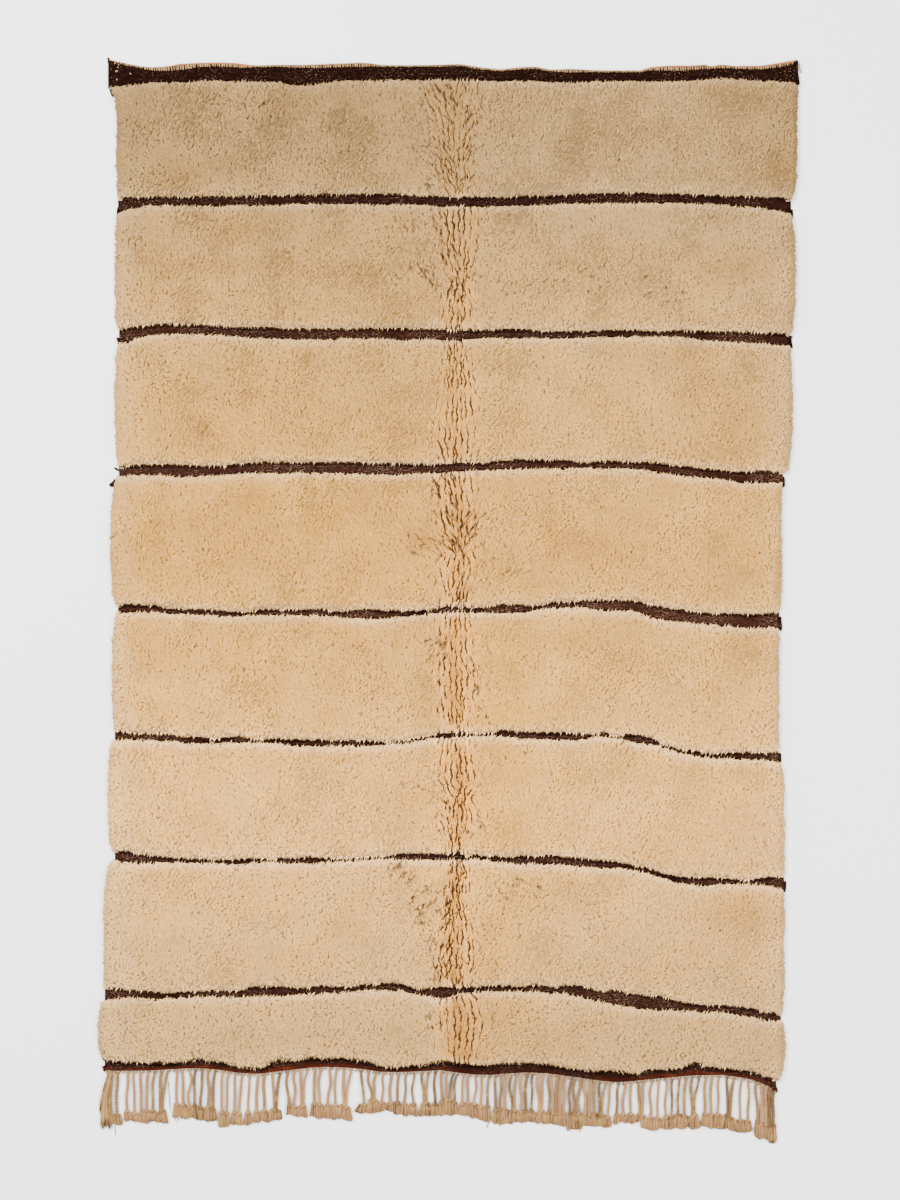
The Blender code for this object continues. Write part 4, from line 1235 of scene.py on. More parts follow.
# %% Finish of the pile
CREAM = (0.600, 0.305, 0.068, 1.0)
CREAM_PALE = (0.640, 0.335, 0.082, 1.0)
CREAM_TAN = (0.540, 0.255, 0.050, 1.0)
CREAM_GREY = (0.580, 0.345, 0.130, 1.0)
HALO_PALE = (0.800, 0.520, 0.240, 1.0)
CREASE_WARM = (0.650, 0.325, 0.084, 1.0)
STAIN_TAN = (0.340, 0.145, 0.028, 1.0)
CRACK_SHADE_COLOUR = (0.078, 0.040, 0.024, 1.0)
SHADOW_SPECK_TINT = (0.500, 0.520, 0.700, 1.0)
CORE_SHADE_TINT = (0.740, 0.670, 0.490, 1.0)
YELLOWED_TINT = (1.000, 0.965, 0.830, 1.0)
CREAM_PINK = (0.640, 0.310, 0.085, 1.0)
CREAM_STRAW = (0.580, 0.320, 0.060, 1.0)
wool = Finish("pile_wool", 1.0)
patches = wool.noise(4.5, detail=3.0)
mottle = wool.noise(26.0, detail=3.0)
grain = wool.noise(1.0, (310.0, 230.0, 240.0), 1.0)
cloudy = wool.noise(9.0)
colour = wool.mix(patches.above(0.32, 0.36), CREAM_TAN, CREAM_PALE)
colour = wool.mix(0.5, colour, CREAM)
colour = wool.mix(wool.noise(31.0).above(0.50, 0.16) * 0.4, colour, CREAM_PINK)
colour = wool.mix(wool.noise(37.0).above(0.52, 0.14) * 0.5, colour, CREAM_STRAW)
colour = wool.mix(wool.attribute("greyness").clamped(), colour, CREAM_GREY)
warmth = wool.attribute("crease") * (0.62 - wool.attribute("greyness") * 0.35).clamped()
colour = wool.mix(warmth, colour, CREASE_WARM)
# Painted shade in a line along the middle of the crease
colour = wool.tint((wool.attribute("core_shade") * 0.75).clamped(), colour, CORE_SHADE_TINT)
yellowed = wool.noise(7.5).above(0.45, 0.20) * (1.35 - wool.attribute("greyness")) * 0.6
colour = wool.tint(yellowed.clamped(), colour, YELLOWED_TINT)
colour = wool.mix(wool.attribute("stain") * (mottle * 1.2 + 0.1).clamped() * 0.7, colour, STAIN_TAN)
colour = wool.mix(wool.attribute("halo") * 0.8, colour, HALO_PALE)
# The tone brings each lock's own lightness, and the painted highlight beside the partings
light = mottle * 0.22 + grain * 0.80 + cloudy * 0.26 + wool.attribute("tone") * 0.07 + 0.425
# Painted shadow specks between the locks
shadows = wool.noise(1.0, (330.0, 300.0, 240.0), 1.0).above(0.58, 0.10) * mottle.above(0.35, 0.25)
colour = wool.tint(shadows * 0.95, colour, SHADOW_SPECK_TINT)
colour = wool.shade(colour, light * wool.attribute("lightness"))
# Painted shade in the gaps of the partings
wool.paint(wool.mix(wool.attribute("crack_shade").above(0.36, 0.34) * 0.95, colour, CRACK_SHADE_COLOUR))
wool.set_normal(wool.lifted_normal(0.78 - wool.attribute("crease") * 0.30))

# %% Join the locks, row by row, into pieces
PILE_PIECES = 5
pile_pieces = []
for piece in range(PILE_PIECES):
    mine = knot_row % PILE_PIECES == piece
    masks = {key: values[mine] for key, values in pile_masks.items()}
    name = f"pile_rows_{piece + 1}"
    pile_pieces.append(join_copies(name, pile[mine], SHORT_LOCK, masks, wool))

# %% [markdown]
# ## The long sides
# At the sides the pile hangs over the cloth and makes the rug's soft outline. These locks are longer and
# curl down to the floor, in shallow lumps rather than in a straight line.

# %% Locks along the long sides
RIM_LOCK_SPACING = 0.0026
RIM_LOCK_WIDTH = 0.0042
RIM_OUT = 0.0035
RIM_LUMP = 0.0042
RIM_LUMPS = ((1.0, 0.028, 9.0), (0.6, 0.010, 10.0))
FLOOR_GAP = 0.0003  # nothing that lies on the floor comes nearer to it than this
YARN_FLOOR_GAP = 0.0004


def rim_locks():
    """Root and tip of the locks that hang over both sides of every panel."""
    starts, ends = [], []
    for index in range(len(PANELS)):
        for way, side in ((0, -1.0), (1, 1.0)):
            end = -1 if way else 0
            top, bottom = BANDS[index][2, end], BANDS[index + 1][1, end]
            y = np.arange(bottom + 0.001, top - 0.001, RIM_LOCK_SPACING)
            y = y + rng.uniform(-0.4, 0.4, len(y)) * RIM_LOCK_SPACING
            t = (top - y) / (top - bottom)
            edge = panel_sides(index, t)[way]
            lump = RIM_LUMP * layered(y, side, RIM_LUMPS)
            reach = lump - 0.001 + RIM_OUT * rng.uniform(-0.5, 0.8, len(y))
            near_band = np.clip(np.minimum(t, 1.0 - t) * (top - bottom) / 0.03, 0.35, 1.0)
            root_x = edge - side * (0.011 + 0.005 * rng.random(len(y)))
            root_z = 0.003 + (0.0060 + 0.003 * rng.random(len(y))) * near_band
            tip_y = y + rng.normal(0.0015, 0.003, len(y))
            tip_z = 0.0012 + 0.0035 * rng.random(len(y))
            starts.append(spots_at(root_x, y, root_z))
            ends.append(spots_at(edge + side * reach, np.clip(tip_y, bottom, top), tip_z))
    return np.concatenate(starts), np.concatenate(ends)


def loose_wool_masks(copies):
    """Masks of locks that stand apart from the pile, with no partings among them."""
    return wool_masks(copies, np.zeros(copies.shape[:2]), rng.uniform(-1.0, 1.0, len(copies)))


def lay_piece(name, shape, ends, widths, flatness, turn, masks_of, finish, curl=LOCK_CURL, level=0.0):
    """Locks twisted at random up to a turn, none of them under a level, joined into one piece."""
    roots, tips = ends
    twist = rng.uniform(-turn, turn, len(roots))
    copies = keep_above(lay_locks(shape, roots, tips, widths, flatness, twist, curl), level)
    return join_copies(name, copies, shape, masks_of(copies), finish)


rim_ends = rim_locks()
rim_widths = RIM_LOCK_WIDTH * (1.0 + 0.3 * rng.uniform(-1.0, 1.0, len(rim_ends[0])))
rim_piece = lay_piece(
    "pile_sides", LONG_LOCK, rim_ends, rim_widths, 0.5, 0.5, loose_wool_masks, wool, 0.75, YARN_FLOOR_GAP
)

# %% [markdown]
# ## Brown hairs beside the bands
# The brown weft is hairy. Short brown locks stand along both edges of each band and break its outline. In
# a few places they stand up in tufts, and at the ends of the bands brown yarn runs on along the side.

# %% Hairs along the bands
HAIR_SPACING = 0.0032
HAIR_LENGTH = (0.002, 0.0072)
FOOT_HAIR_LENGTH = (0.006, 0.0150)
HAIR_WIDTH = 0.0027
HAIR_SINK = 0.003
HAIR_WAY_BELOW = -0.45  # at a lower edge a hair points down, and reaches less far
# Tufts that stand above a band: the band, X of the middle, half width, length of the hairs, and count
Tuft = namedtuple("Tuft", "band x half_width length count")
TUFTS = (
    (1, -0.436, 0.010, 0.015, 12), (1, -0.361, 0.016, 0.012, 14), (1, 0.204, 0.009, 0.008, 8),
    (2, 0.680, 0.008, 0.008, 7), (2, 0.857, 0.003, 0.010, 4), (2, -0.560, 0.016, 0.007, 8),
    (5, 0.150, 0.014, 0.009, 9), (5, 0.440, 0.009, 0.009, 7), (7, 0.244, 0.010, 0.010, 9),
    (8, -0.735, 0.034, 0.010, 18), (8, -0.490, 0.030, 0.011, 18), (8, -0.030, 0.060, 0.012, 26),
    (8, 0.200, 0.120, 0.011, 40), (8, 0.700, 0.026, 0.012, 18),
)
TUFTS = [Tuft(*row) for row in TUFTS]


def edges_beside_pile(sides):
    """Number, band and side of each edge of a band that has pile beside it."""
    for number, band in enumerate(BANDS):
        for below in sides:
            if (number > 0 or below) and not (band is FOOT and below):
                yield number, band, below


def places_along(start, end, spacing, wander):
    """X of places from start to end, each a little off its even spacing."""
    x = np.arange(start, end, spacing)
    return x + rng.uniform(-wander, wander, len(x)) * spacing


def band_hairs():
    """Root and tip of the brown hairs along the bands, and of those in tufts."""
    starts, ends = [], []

    def stand(band, below, x, length):
        way = HAIR_WAY_BELOW if below else 1.0
        y = band_edge(band, x, below)
        starts.append(spots_at(x, y - way * HAIR_SINK, WEAVE_THICKNESS - 0.001))
        tip_x = x + rng.normal(0.0, 0.0024, len(x))
        tip_z = WEAVE_THICKNESS + 0.004 + length * rng.uniform(0.6, 1.1, len(x))
        ends.append(spots_at(tip_x, y + way * length, tip_z))

    for number, band, below in edges_beside_pile((False, True)):
        x = places_along(band[0, 0] + 0.004, band[0, -1] - 0.004, HAIR_SPACING, 0.5)
        tufty = np.clip(0.55 + 0.9 * uneven(x, number, 0.035, 20.0), 0.15, 1.3)
        lengths = FOOT_HAIR_LENGTH if band is FOOT else HAIR_LENGTH
        stand(band, below, x, rng.uniform(*lengths, len(x)) * tufty)
    for tuft in TUFTS:
        x = tuft.x + rng.uniform(-1.0, 1.0, tuft.count) * tuft.half_width
        stand(BANDS[tuft.band], False, x, tuft.length * rng.uniform(0.6, 1.1, tuft.count))
    return np.concatenate(starts), np.concatenate(ends)


def hair_masks(copies):
    return {"redness": np.zeros(len(copies)), "brownness": np.full(len(copies), 1.2)}


hair_ends = band_hairs()
hair_widths = HAIR_WIDTH * rng.uniform(0.6, 1.5, len(hair_ends[0]))
hair_piece = lay_piece("band_hairs", SHORT_LOCK, hair_ends, hair_widths, 0.7, 1.0, hair_masks, flatweave)

# %% Cream hairs that hang over the bands
WISP_SPACING = 0.0060
WISP_WIDTH = 0.0019
WISP_LENGTH = (0.002, 0.0090)
THIN_BAND = 0.006  # where a band is thinner than this, the wool nearly closes over it
WISP_FROM_EDGE = 0.004  # the pile's height is taken this far from the band
WISP_SINK = 0.002
RARE_ABOVE = 0.5  # above a band fewer hairs hang over it than below


def cream_hairs():
    """Root and tip of the cream hairs, from the pile out over the bands."""
    starts, ends = [], []
    for number, band, below in edges_beside_pile((True, False)):
        way = 1.0 if below else -1.0
        x = places_along(band[0, 0] + 0.006, band[0, -1] - 0.006, WISP_SPACING, 0.9)
        thin = band_edge(band, x, False) - band_edge(band, x, True) < THIN_BAND
        often = uneven(x, number, 0.030, 50.0) + 0.8 * rng.uniform(-1.0, 1.0, len(x))
        x = x[(often > (0.0 if below else RARE_ABOVE)) | thin]
        y = band_edge(band, x, below)
        length = rng.uniform(*WISP_LENGTH, len(x))
        slant = 0.5 * way * length + rng.normal(0.0, 0.0025, len(x))
        top = pile_top(x, y - way * WISP_FROM_EDGE, WISP_FROM_EDGE, from_side=0.05)
        starts.append(spots_at(x, y - way * 0.006, top - WISP_SINK))
        ends.append(spots_at(x + slant, y + way * length, WEAVE_THICKNESS + 0.003))
    return np.concatenate(starts), np.concatenate(ends)


def lit_wisp_masks(copies):
    """Painted light: these hairs are painted lighter than the pile, and as pale as the wool beside the
    bands, as if more brightly lit.
    """
    masks = loose_wool_masks(copies)
    # Painted light: the hairs are made lighter
    masks["lightness"] = 1.5 * masks["lightness"]
    masks["halo"] = np.full(copies.shape[:2], 1.3)
    return masks


wisp_ends = cream_hairs()
wisp_widths = WISP_WIDTH * rng.uniform(0.6, 1.5, len(wisp_ends[0]))
wisp_piece = lay_piece("cream_hairs", SHORT_LOCK, wisp_ends, wisp_widths, 0.6, 1.0, lit_wisp_masks, wool)

# %% Brown yarn at the ends of the bands
# Start and end in millimetres, half width, and how rust red it is
YarnEnd = namedtuple("YarnEnd", "x y end_x end_y half_width red")
YARN_ENDS = (
    (-990, 1516, -980, 1462, 3.0, 0.0), (-992, 1560, -990, 1576, 3.0, 0.0),
    (1003, 1556, 1002, 1572, 3.0, 0.0), (1006, 1530, 1010, 1494, 3.0, 0.0),
    (-964, 1140, -963, 1102, 3.2, 0.0), (985, 1138, 989, 1108, 3.2, 0.0),
    (-961, 765, -960, 744, 3.0, 0.0), (982, 762, 988, 734, 3.4, 0.0), (981, 770, 993, 765, 2.4, 0.0),
    (-968, 352, -989, 334, 4.0, 0.0), (-962, 380, -974, 388, 2.4, 0.0), (964, 360, 966, 330, 3.0, 0.0),
    (952, -45, 957, -86, 3.2, 0.0), (953, -440, 956, -470, 3.0, 0.0), (967, -812, 969, -842, 3.2, 0.0),
    (-1000, -1330, -1008, -1322, 3.0, 0.2), (-998, -1345, -1010, -1350, 3.2, 0.6),
    (-998, -1352, -1009, -1362, 3.0, 0.8), (-1001, -1043, -995, -1068, 4.0, 0.7),
    (940, -1385, 950, -1376, 3.0, 0.0), (938, -1400, 946, -1424, 4.0, 0.3),
    (930, -1398, 934, -1420, 3.4, 0.2),
)
YARN_ENDS = [YarnEnd(*row) for row in YARN_ENDS]
YARN_STRANDS = 4


def yarn_ends():
    """Both ends, half width and redness of every strand of the yarn ends."""
    table = np.repeat(np.array(YARN_ENDS), YARN_STRANDS, axis=0)
    count = len(table)
    width = table[:, 4] * MM
    low = rng.uniform(0.0015, 0.0050, count)
    scatter = rng.normal(0.0, 0.6, (count, 4)) * width[:, None]
    places = table[:, :4] * MM + scatter
    starts = spots_at(places[:, 0], places[:, 1], low)
    ends = spots_at(places[:, 2], places[:, 3], 0.8 * low)
    return (starts, ends), width, table[:, 5]


def yarn_masks(copies):
    return {"redness": yarn_red, "brownness": np.full(len(copies), 0.8)}


strands, yarn_widths, yarn_red = yarn_ends()
yarn_piece = lay_piece(
    "band_yarn_ends", LONG_LOCK, strands, yarn_widths, 0.5, 0.5, yarn_masks, flatweave, 1.0, YARN_FLOOR_GAP
)

# %% [markdown]
# ## The heading's edge
# The heading was turned over a cord and whipped with cream yarn. In some stretches the salmon cord shows
# at the very edge. The cord is a curve with a round section. One stitch is a small bent bead, copied along
# the edge, and its lower end is pulled down over the brown cloth, so that the border has fine teeth.

# %% The cord in the edge
EDGE_RADIUS = 0.0021
EDGE_STEPS = 190
EDGE_IN = 0.0016  # the cord's middle lies this far below the outermost line
EDGE_HEIGHT = 0.0036
# Stretches where the salmon cord shows: X of both ends, and how strong its colour is
SALMON_RUNS = (
    (-0.81, -0.56, 1.0), (-0.34, -0.21, 0.4), (0.55, 0.75, 0.8), (0.76, 0.81, 0.4), (0.83, 1.00, 0.7),
)
SALMON_FADE = 0.02


def salmon_share(x):
    """How strongly the salmon cord shows at x."""
    share = np.zeros_like(x)
    for start, end, strength in SALMON_RUNS:
        inside = ramp(x, start, SALMON_FADE)
        share = np.maximum(share, strength * inside * ramp(-x, -end, SALMON_FADE))
    return share


curve = bpy.data.curves.new("heading_cord", "CURVE")
curve.dimensions = "3D"
curve.bevel_depth = EDGE_RADIUS
curve.bevel_resolution = 2
curve.use_fill_caps = True
spline = curve.splines.new("POLY")
spline.points.add(EDGE_STEPS)
edge_x = np.linspace(HEADING[0, 0], HEADING[0, -1], EDGE_STEPS + 1)
edge_size = 0.75 + 0.55 * salmon_share(edge_x) + 0.2 * uneven(edge_x, 0.0, 0.06, 40.0)
for point, x, size in zip(spline.points, edge_x, edge_size):
    point.co = (x, float(heading_line(x)) - EDGE_IN, EDGE_HEIGHT, 1.0)
    point.radius = float(size)
cord = bpy.data.objects.new("heading_cord", curve)
bpy.context.scene.collection.objects.link(cord)
bpy.ops.object.select_all(action="DESELECT")
cord.select_set(True)
bpy.context.view_layer.objects.active = cord
bpy.ops.object.convert(target="MESH")
cord = bpy.context.object
start_editing()
bpy.ops.mesh.remove_doubles(threshold=0.00001)
finish_editing()
cord.data.shade_smooth()
add_mask(cord, "salmon", salmon_share(points_of(cord.data)[:, 0]))

SALMON = (0.300, 0.090, 0.026, 1.0)
EDGE_CREAM = (0.300, 0.165, 0.066, 1.0)
EDGE_DULL = (0.110, 0.048, 0.022, 1.0)
edge_wool = Finish("edge_wool", 0.9)
edge_grain = edge_wool.noise(1.0, (300.0, 600.0, 600.0), 1.0)
edge_colour = edge_wool.mix(edge_wool.noise(1.0, (9.0, 3.0, 3.0)).above(0.46, 0.14), EDGE_CREAM, EDGE_DULL)
edge_colour = edge_wool.mix(edge_wool.attribute("salmon"), edge_colour, SALMON)
edge_wool.paint_yarn(edge_colour, edge_grain, contrast=0.5, lightness=0.75, depth=0.0008)
cord.data.materials.append(edge_wool.material)
print("heading cord:", len(cord.data.polygons), "faces")


# %% Model one stitch
# A sphere, a little flattened, stands for one loop of yarn
bead = add_alone(bpy.ops.mesh.primitive_uv_sphere_add, "stitch", segments=6, ring_count=5, radius=1.0)
BEAD = squashed(bead, (1.0, 0.8, 1.0))
BEAD_SAG = 0.25  # the ends of a bead lie lower than its middle by this share of its height


def lay_beads(middles, ends_apart, widths, heights):
    """Beads centred at the middles, each as long as its vector between ends, which lies flat."""
    length = np.linalg.norm(ends_apart, axis=1)[:, None]
    along = np.concatenate([ends_apart / length, np.zeros((len(length), 1))], axis=1)
    across = spots_at(along[:, 1], -along[:, 0], 0.0)
    up = np.array([0.0, 0.0, 1.0])
    copies = np.empty((len(middles), len(BEAD[0]), 3))
    for number, (x, y, z) in enumerate(BEAD[0]):
        offset = along * (0.5 * z * length) + across * (x * 0.5 * widths)[:, None]
        rise = -y * 0.5 * heights - BEAD_SAG * z * z * heights
        copies[:, number] = middles + offset + up * rise[:, None]
    return copies


# %% Whip the heading
STITCH_SPACING = 0.0070
STITCH_WIDTH = 0.0058
STITCH_TOOTH = 0.0040  # how far a stitch comes down over the brown
STITCH_SLANT = 0.0018
STITCH_THICKNESS = 0.0032
STITCH_HEIGHT = 0.0058


def whip_stitches():
    """One bead for each stitch along the heading."""
    x = places_along(HEADING[0, 0] + 0.020, HEADING[0, -1] - 0.006, STITCH_SPACING, 0.18)
    top = heading_line(x) - 0.0012
    bottom = np.minimum(band_edge(BANDS[0], x, False), top - 0.0016)
    bottom = bottom - STITCH_TOOTH * rng.uniform(0.6, 1.1, len(x))
    slant = STITCH_SLANT + rng.normal(0.0, 0.0009, len(x))
    middles = spots_at(x, 0.5 * (top + bottom), STITCH_HEIGHT)
    widths = STITCH_WIDTH * rng.uniform(0.8, 1.2, len(x))
    ends_apart = np.stack([slant, bottom - top], axis=1)
    return lay_beads(middles, ends_apart, widths, np.full(len(x), STITCH_THICKNESS))


STITCH_CREAM = (0.300, 0.185, 0.085, 1.0)
STITCH_DULL = (0.140, 0.078, 0.040, 1.0)
stitch_wool = Finish("stitch_wool", 0.9)
stitch_grain = stitch_wool.noise(500.0)
stitch_colour = stitch_wool.mix(stitch_wool.attribute("tone").above(-0.3, 1.3), STITCH_CREAM, STITCH_DULL)
stitch_wool.paint_yarn(stitch_colour, stitch_grain, contrast=0.5, lightness=0.75, depth=0.0006)
stitches = whip_stitches()
stitch_masks = {"tone": rng.uniform(-1.0, 1.0, len(stitches))}
stitch_piece = join_copies("heading_stitches", stitches, BEAD, stitch_masks, stitch_wool)

# %% [markdown]
# A few cream yarn ends were left as little knots at the left end of the heading, and at its right end a
# short tab of the cream edging sticks out.

# %% Cream knots and the tab
# Place and length, and how far it is turned, in radians
Speck = namedtuple("Speck", "x y size turn")
SPECKS = (
    (-0.968, 1.5370, 0.0085, 0.3), (-0.973, 1.5600, 0.0055, 1.2), (-0.962, 1.5560, 0.0050, 2.0),
    (-0.964, 1.5480, 0.0050, 0.0), (-0.928, 1.5300, 0.0060, 2.6), (-0.967, 1.5130, 0.0055, 1.0),
    (-0.955, 1.5620, 0.0045, 0.5), (-0.757, 1.5470, 0.0045, 1.8), (1.0110, 1.5520, 0.0180, 1.45),
    (1.0140, 1.5380, 0.0160, 1.70),
)
SPECKS = [Speck(*row) for row in SPECKS]
KNOT_RISE_SIZE = 0.006  # a longer knot lies no higher than one of this size
KNOT_WIDEST = 0.0055
speck_x, speck_y, speck_size, speck_turn = np.array(SPECKS).T
speck_height = WEAVE_THICKNESS + 0.2 * np.minimum(speck_size, KNOT_RISE_SIZE)
speck_middles = spots_at(speck_x, speck_y, speck_height)
speck_ends = (np.array([np.cos(speck_turn), np.sin(speck_turn)]) * speck_size).T
speck_width = np.minimum(0.8 * speck_size, KNOT_WIDEST)
specks_laid = lay_beads(speck_middles, speck_ends, speck_width, 0.8 * speck_width)
speck_masks = {"tone": np.full(len(SPECKS), -1.0)}
speck_piece = join_copies("heading_knots", specks_laid, BEAD, speck_masks, stitch_wool)

# %% [markdown]
# ## The foot and its fringe
# Below the last band the warps leave the cloth. A pair of yarns is twined across them, one slanting bead
# for each pair of warps. The warps are then twisted together in twos, knotted, and brushed out below the
# knot. Over the years the brushed ends have felted into bars, so each bar is a clump with its own corners
# and its own number of cords: left and right side, then the height of its top and bottom at each side.

# %% Clumps of the fringe
Clump = namedtuple("Clump", "left right top_left top_right bottom_left bottom_right cords")
CLUMPS = (
    (-979, -950, -1483, -1483, -1521, -1515, 1), (-944, -819, -1480, -1475, -1510, -1512, 7),
    (-805, -677, -1460, -1466, -1498, -1506, 7), (-671, -642, -1480, -1480, -1524, -1524, 2),
    (-637, -602, -1480, -1480, -1521, -1521, 2), (-596, -576, -1478, -1478, -1518, -1518, 1),
    (-570, -489, -1478, -1469, -1515, -1498, 4), (-474, -416, -1463, -1457, -1489, -1498, 4),
    (-407, -286, -1457, -1463, -1495, -1506, 6), (-280, -251, -1454, -1454, -1486, -1483, 1),
    (-245, -167, -1440, -1452, -1483, -1480, 4), (-164, -97, -1454, -1454, -1489, -1495, 3),
    (-94, -36, -1452, -1452, -1492, -1489, 3), (-33, 19, -1448, -1448, -1492, -1486, 4),
    (22, 115, -1452, -1466, -1483, -1512, 5), (123, 257, -1469, -1480, -1515, -1510, 9),
    (268, 335, -1478, -1483, -1510, -1518, 6), (338, 378, -1483, -1486, -1533, -1536, 3),
    (381, 465, -1486, -1489, -1524, -1527, 6), (474, 550, -1483, -1486, -1518, -1506, 4),
    (555, 631, -1492, -1495, -1530, -1533, 4), (634, 724, -1489, -1492, -1533, -1527, 5),
    (726, 805, -1483, -1492, -1524, -1527, 4), (808, 874, -1495, -1504, -1530, -1544, 3),
    (883, 944, -1510, -1515, -1556, -1570, 5),
)
CLUMPS = [Clump(*row) for row in CLUMPS]
CORD_COUNT = sum(clump.cords for clump in CLUMPS)


def foot_line(x):
    """Y of the foot's lower edge, where the cords leave the cloth."""
    return band_edge(FOOT, x, True)


print(len(CLUMPS), "clumps,", CORD_COUNT, "cords")

# %% Twine across the foot
TWINE_SPACING = 0.0098
TWINE_ROWS = ((-0.0020, 0.0042), (-0.0060, -0.0042))  # Y from the foot's lower edge, and slant
TWINE_DROP = -0.0058  # from the upper to the lower end of a bead
TWINE_WIDTH = 0.0044
TWINE_THICKNESS = 0.0056
TWINE_HEIGHT = 0.0042


def twining():
    """Two rows of beads that slant against each other."""
    x = places_along(FOOT[0, 0] + 0.004, FOOT[0, -1] - 0.003, TWINE_SPACING, 0.12)
    middles, apart = [], []
    for row_y, slant in TWINE_ROWS:
        middles.append(spots_at(x + 0.3 * slant, foot_line(x) + row_y, TWINE_HEIGHT))
        apart.append(np.full((len(x), 2), (slant, TWINE_DROP)))
    middles, apart = np.concatenate(middles), np.concatenate(apart)
    count = len(middles)
    widths = TWINE_WIDTH * rng.uniform(0.8, 1.2, count)
    apart = apart * rng.uniform(0.85, 1.2, (count, 1))
    return lay_beads(middles, apart, widths, np.full(count, TWINE_THICKNESS))


FRINGE_BEIGE = (0.335, 0.188, 0.074, 1.0)
# The darkest fringe colour is grey wool, and also painted shade on the lower locks of the tufts
FRINGE_GREY_AND_SHADE = (0.062, 0.034, 0.018, 1.0)
FRINGE_PINK = (0.335, 0.165, 0.078, 1.0)
FRINGE_STRAW = (0.400, 0.245, 0.082, 1.0)
warp = Finish("fringe_wool", 0.95)
warp_tone = warp.attribute("tone")
warp_grain = warp.noise(1.0, (420.0, 120.0, 420.0), 2.0)
warp_colour = warp.mix(warp_tone.above(-1.3, 1.4), FRINGE_GREY_AND_SHADE, FRINGE_BEIGE)
warp_colour = warp.mix(warp_tone.above(0.2, 0.5), warp_colour, FRINGE_PINK)
warp_colour = warp.mix(warp.noise(38.0).above(0.52, 0.14) * 0.7, warp_colour, FRINGE_STRAW)
warp.paint_yarn(warp_colour, warp_grain, contrast=0.55, lightness=0.72, depth=0.0008)
twined = twining()
twine_masks = {"tone": rng.uniform(-1.1, 0.0, len(twined))}
twine_piece = join_copies("foot_twining", twined, BEAD, twine_masks, warp)

# %% [markdown]
# One cord is modelled straight, one unit long: two small squares, extruded step by step and turned a
# little about the cord's axis each time, as the spinner's hands turn two plies together.

# %% Model one twisted cord
CORD_TURNS = 7
STEPS_PER_TURN = 5
PLY_RADIUS = 0.0033
PLY_OFFSET = 0.0026


def model_cord():
    """Two plies twisted together, one unit long."""
    square = {"vertices": 4, "radius": PLY_RADIUS, "fill_type": "NGON"}
    first, made = (
        add_alone(bpy.ops.mesh.primitive_circle_add, "cord", **square, location=(aside, 0, 0))
        for aside in (PLY_OFFSET, -PLY_OFFSET)
    )
    first.select_set(True)
    bpy.ops.object.join()
    bpy.ops.object.transform_apply(location=True)
    start_editing("FACE")
    steps = CORD_TURNS * STEPS_PER_TURN
    for step in range(steps):
        bpy.ops.mesh.extrude_region_move(TRANSFORM_OT_translate={"value": (0.0, 0.0, 1.0 / steps)})
        centre = (0.0, 0.0, (step + 1) / steps)
        bpy.ops.transform.rotate(value=math.tau / STEPS_PER_TURN, orient_axis="Z", center_override=centre)
    finish_editing()
    return read_shape(made)


CORD = model_cord()
print("one cord:", CORD[0].shape[0], "points,", CORD[1].shape[0], "triangles")

# %% Where each cord runs
CORD_HEIGHT = 0.0060
BEND_AT_TOP = 1.7  # the higher, the sooner a cord turns to hang straight
HOOK, HOOK_BEND = 0.0055, 7.0  # the warps leave the cloth slanting, so each cord starts further right
CORD_SWAY = 0.0022
SWAYS = 1.1  # how often a cord sways from side to side on its way down
SPREAD_OVER = 9  # tops are spread evenly over this many cords
# X in millimetres where two neighbouring cords were caught in one knot
MEETINGS = (-834, -500, -425, -297, -238, -216, -65, 178, 262, 430, 560, 705, 806)
KNOT_STRAYS = (-0.005, 0.004)
EVENED_OUT = 0.7  # how far the tops are spread evenly rather than standing over their knots
TOP_STRAYS = 0.0013
MEETING_HALF_GAP = 0.003
knot_at, tuft_end, tuft_half, tuft_sides = [], [], [], []
for clump in CLUMPS:
    places = (np.arange(clump.cords) + 0.5 + rng.uniform(-0.15, 0.15, clump.cords)) / clump.cords
    here_x = blend(clump.left, clump.right, places) * MM
    here_y = blend(clump.top_left, clump.top_right, places) * MM
    here_y = here_y + rng.uniform(*KNOT_STRAYS, clump.cords)
    knot_at.append(np.stack([here_x, here_y], axis=1))
    end_y = blend(clump.bottom_left, clump.bottom_right, places) * MM
    tuft_end.append(np.stack([here_x, end_y], axis=1))
    half = 0.5 * (clump.right - clump.left) / clump.cords * MM
    tuft_half.append(np.full(clump.cords, half))
    tuft_sides += [(clump.left * MM, clump.right * MM)] * clump.cords
knot_at, tuft_end, tuft_half = (np.concatenate(item) for item in (knot_at, tuft_end, tuft_half))
first_x = knot_at[:, 0].copy()
padded = np.pad(first_x, SPREAD_OVER // 2, mode="reflect", reflect_type="odd")
even_x = np.convolve(padded, np.full(SPREAD_OVER, 1.0 / SPREAD_OVER), mode="valid")
cord_x = blend(first_x, even_x, EVENED_OUT) + rng.normal(0.0, TOP_STRAYS, CORD_COUNT)
cord_x = np.clip(cord_x, FOOT[0, 0] + 0.012, FOOT[0, -1] - 0.004)
for meeting in MEETINGS:
    between = 0.5 * (first_x[1:] + first_x[:-1])
    first = int(np.argmin(np.abs(between - meeting * MM)))
    pair = slice(first, first + 2)
    knot_at[pair, 0] = first_x[pair].mean() + np.array((-MEETING_HALF_GAP, MEETING_HALF_GAP))
cord_top = foot_line(cord_x) - 0.003
sway = CORD_SWAY * rng.normal(0.0, 1.0, CORD_COUNT)
sway_phase = rng.uniform(0.0, math.tau, CORD_COUNT)


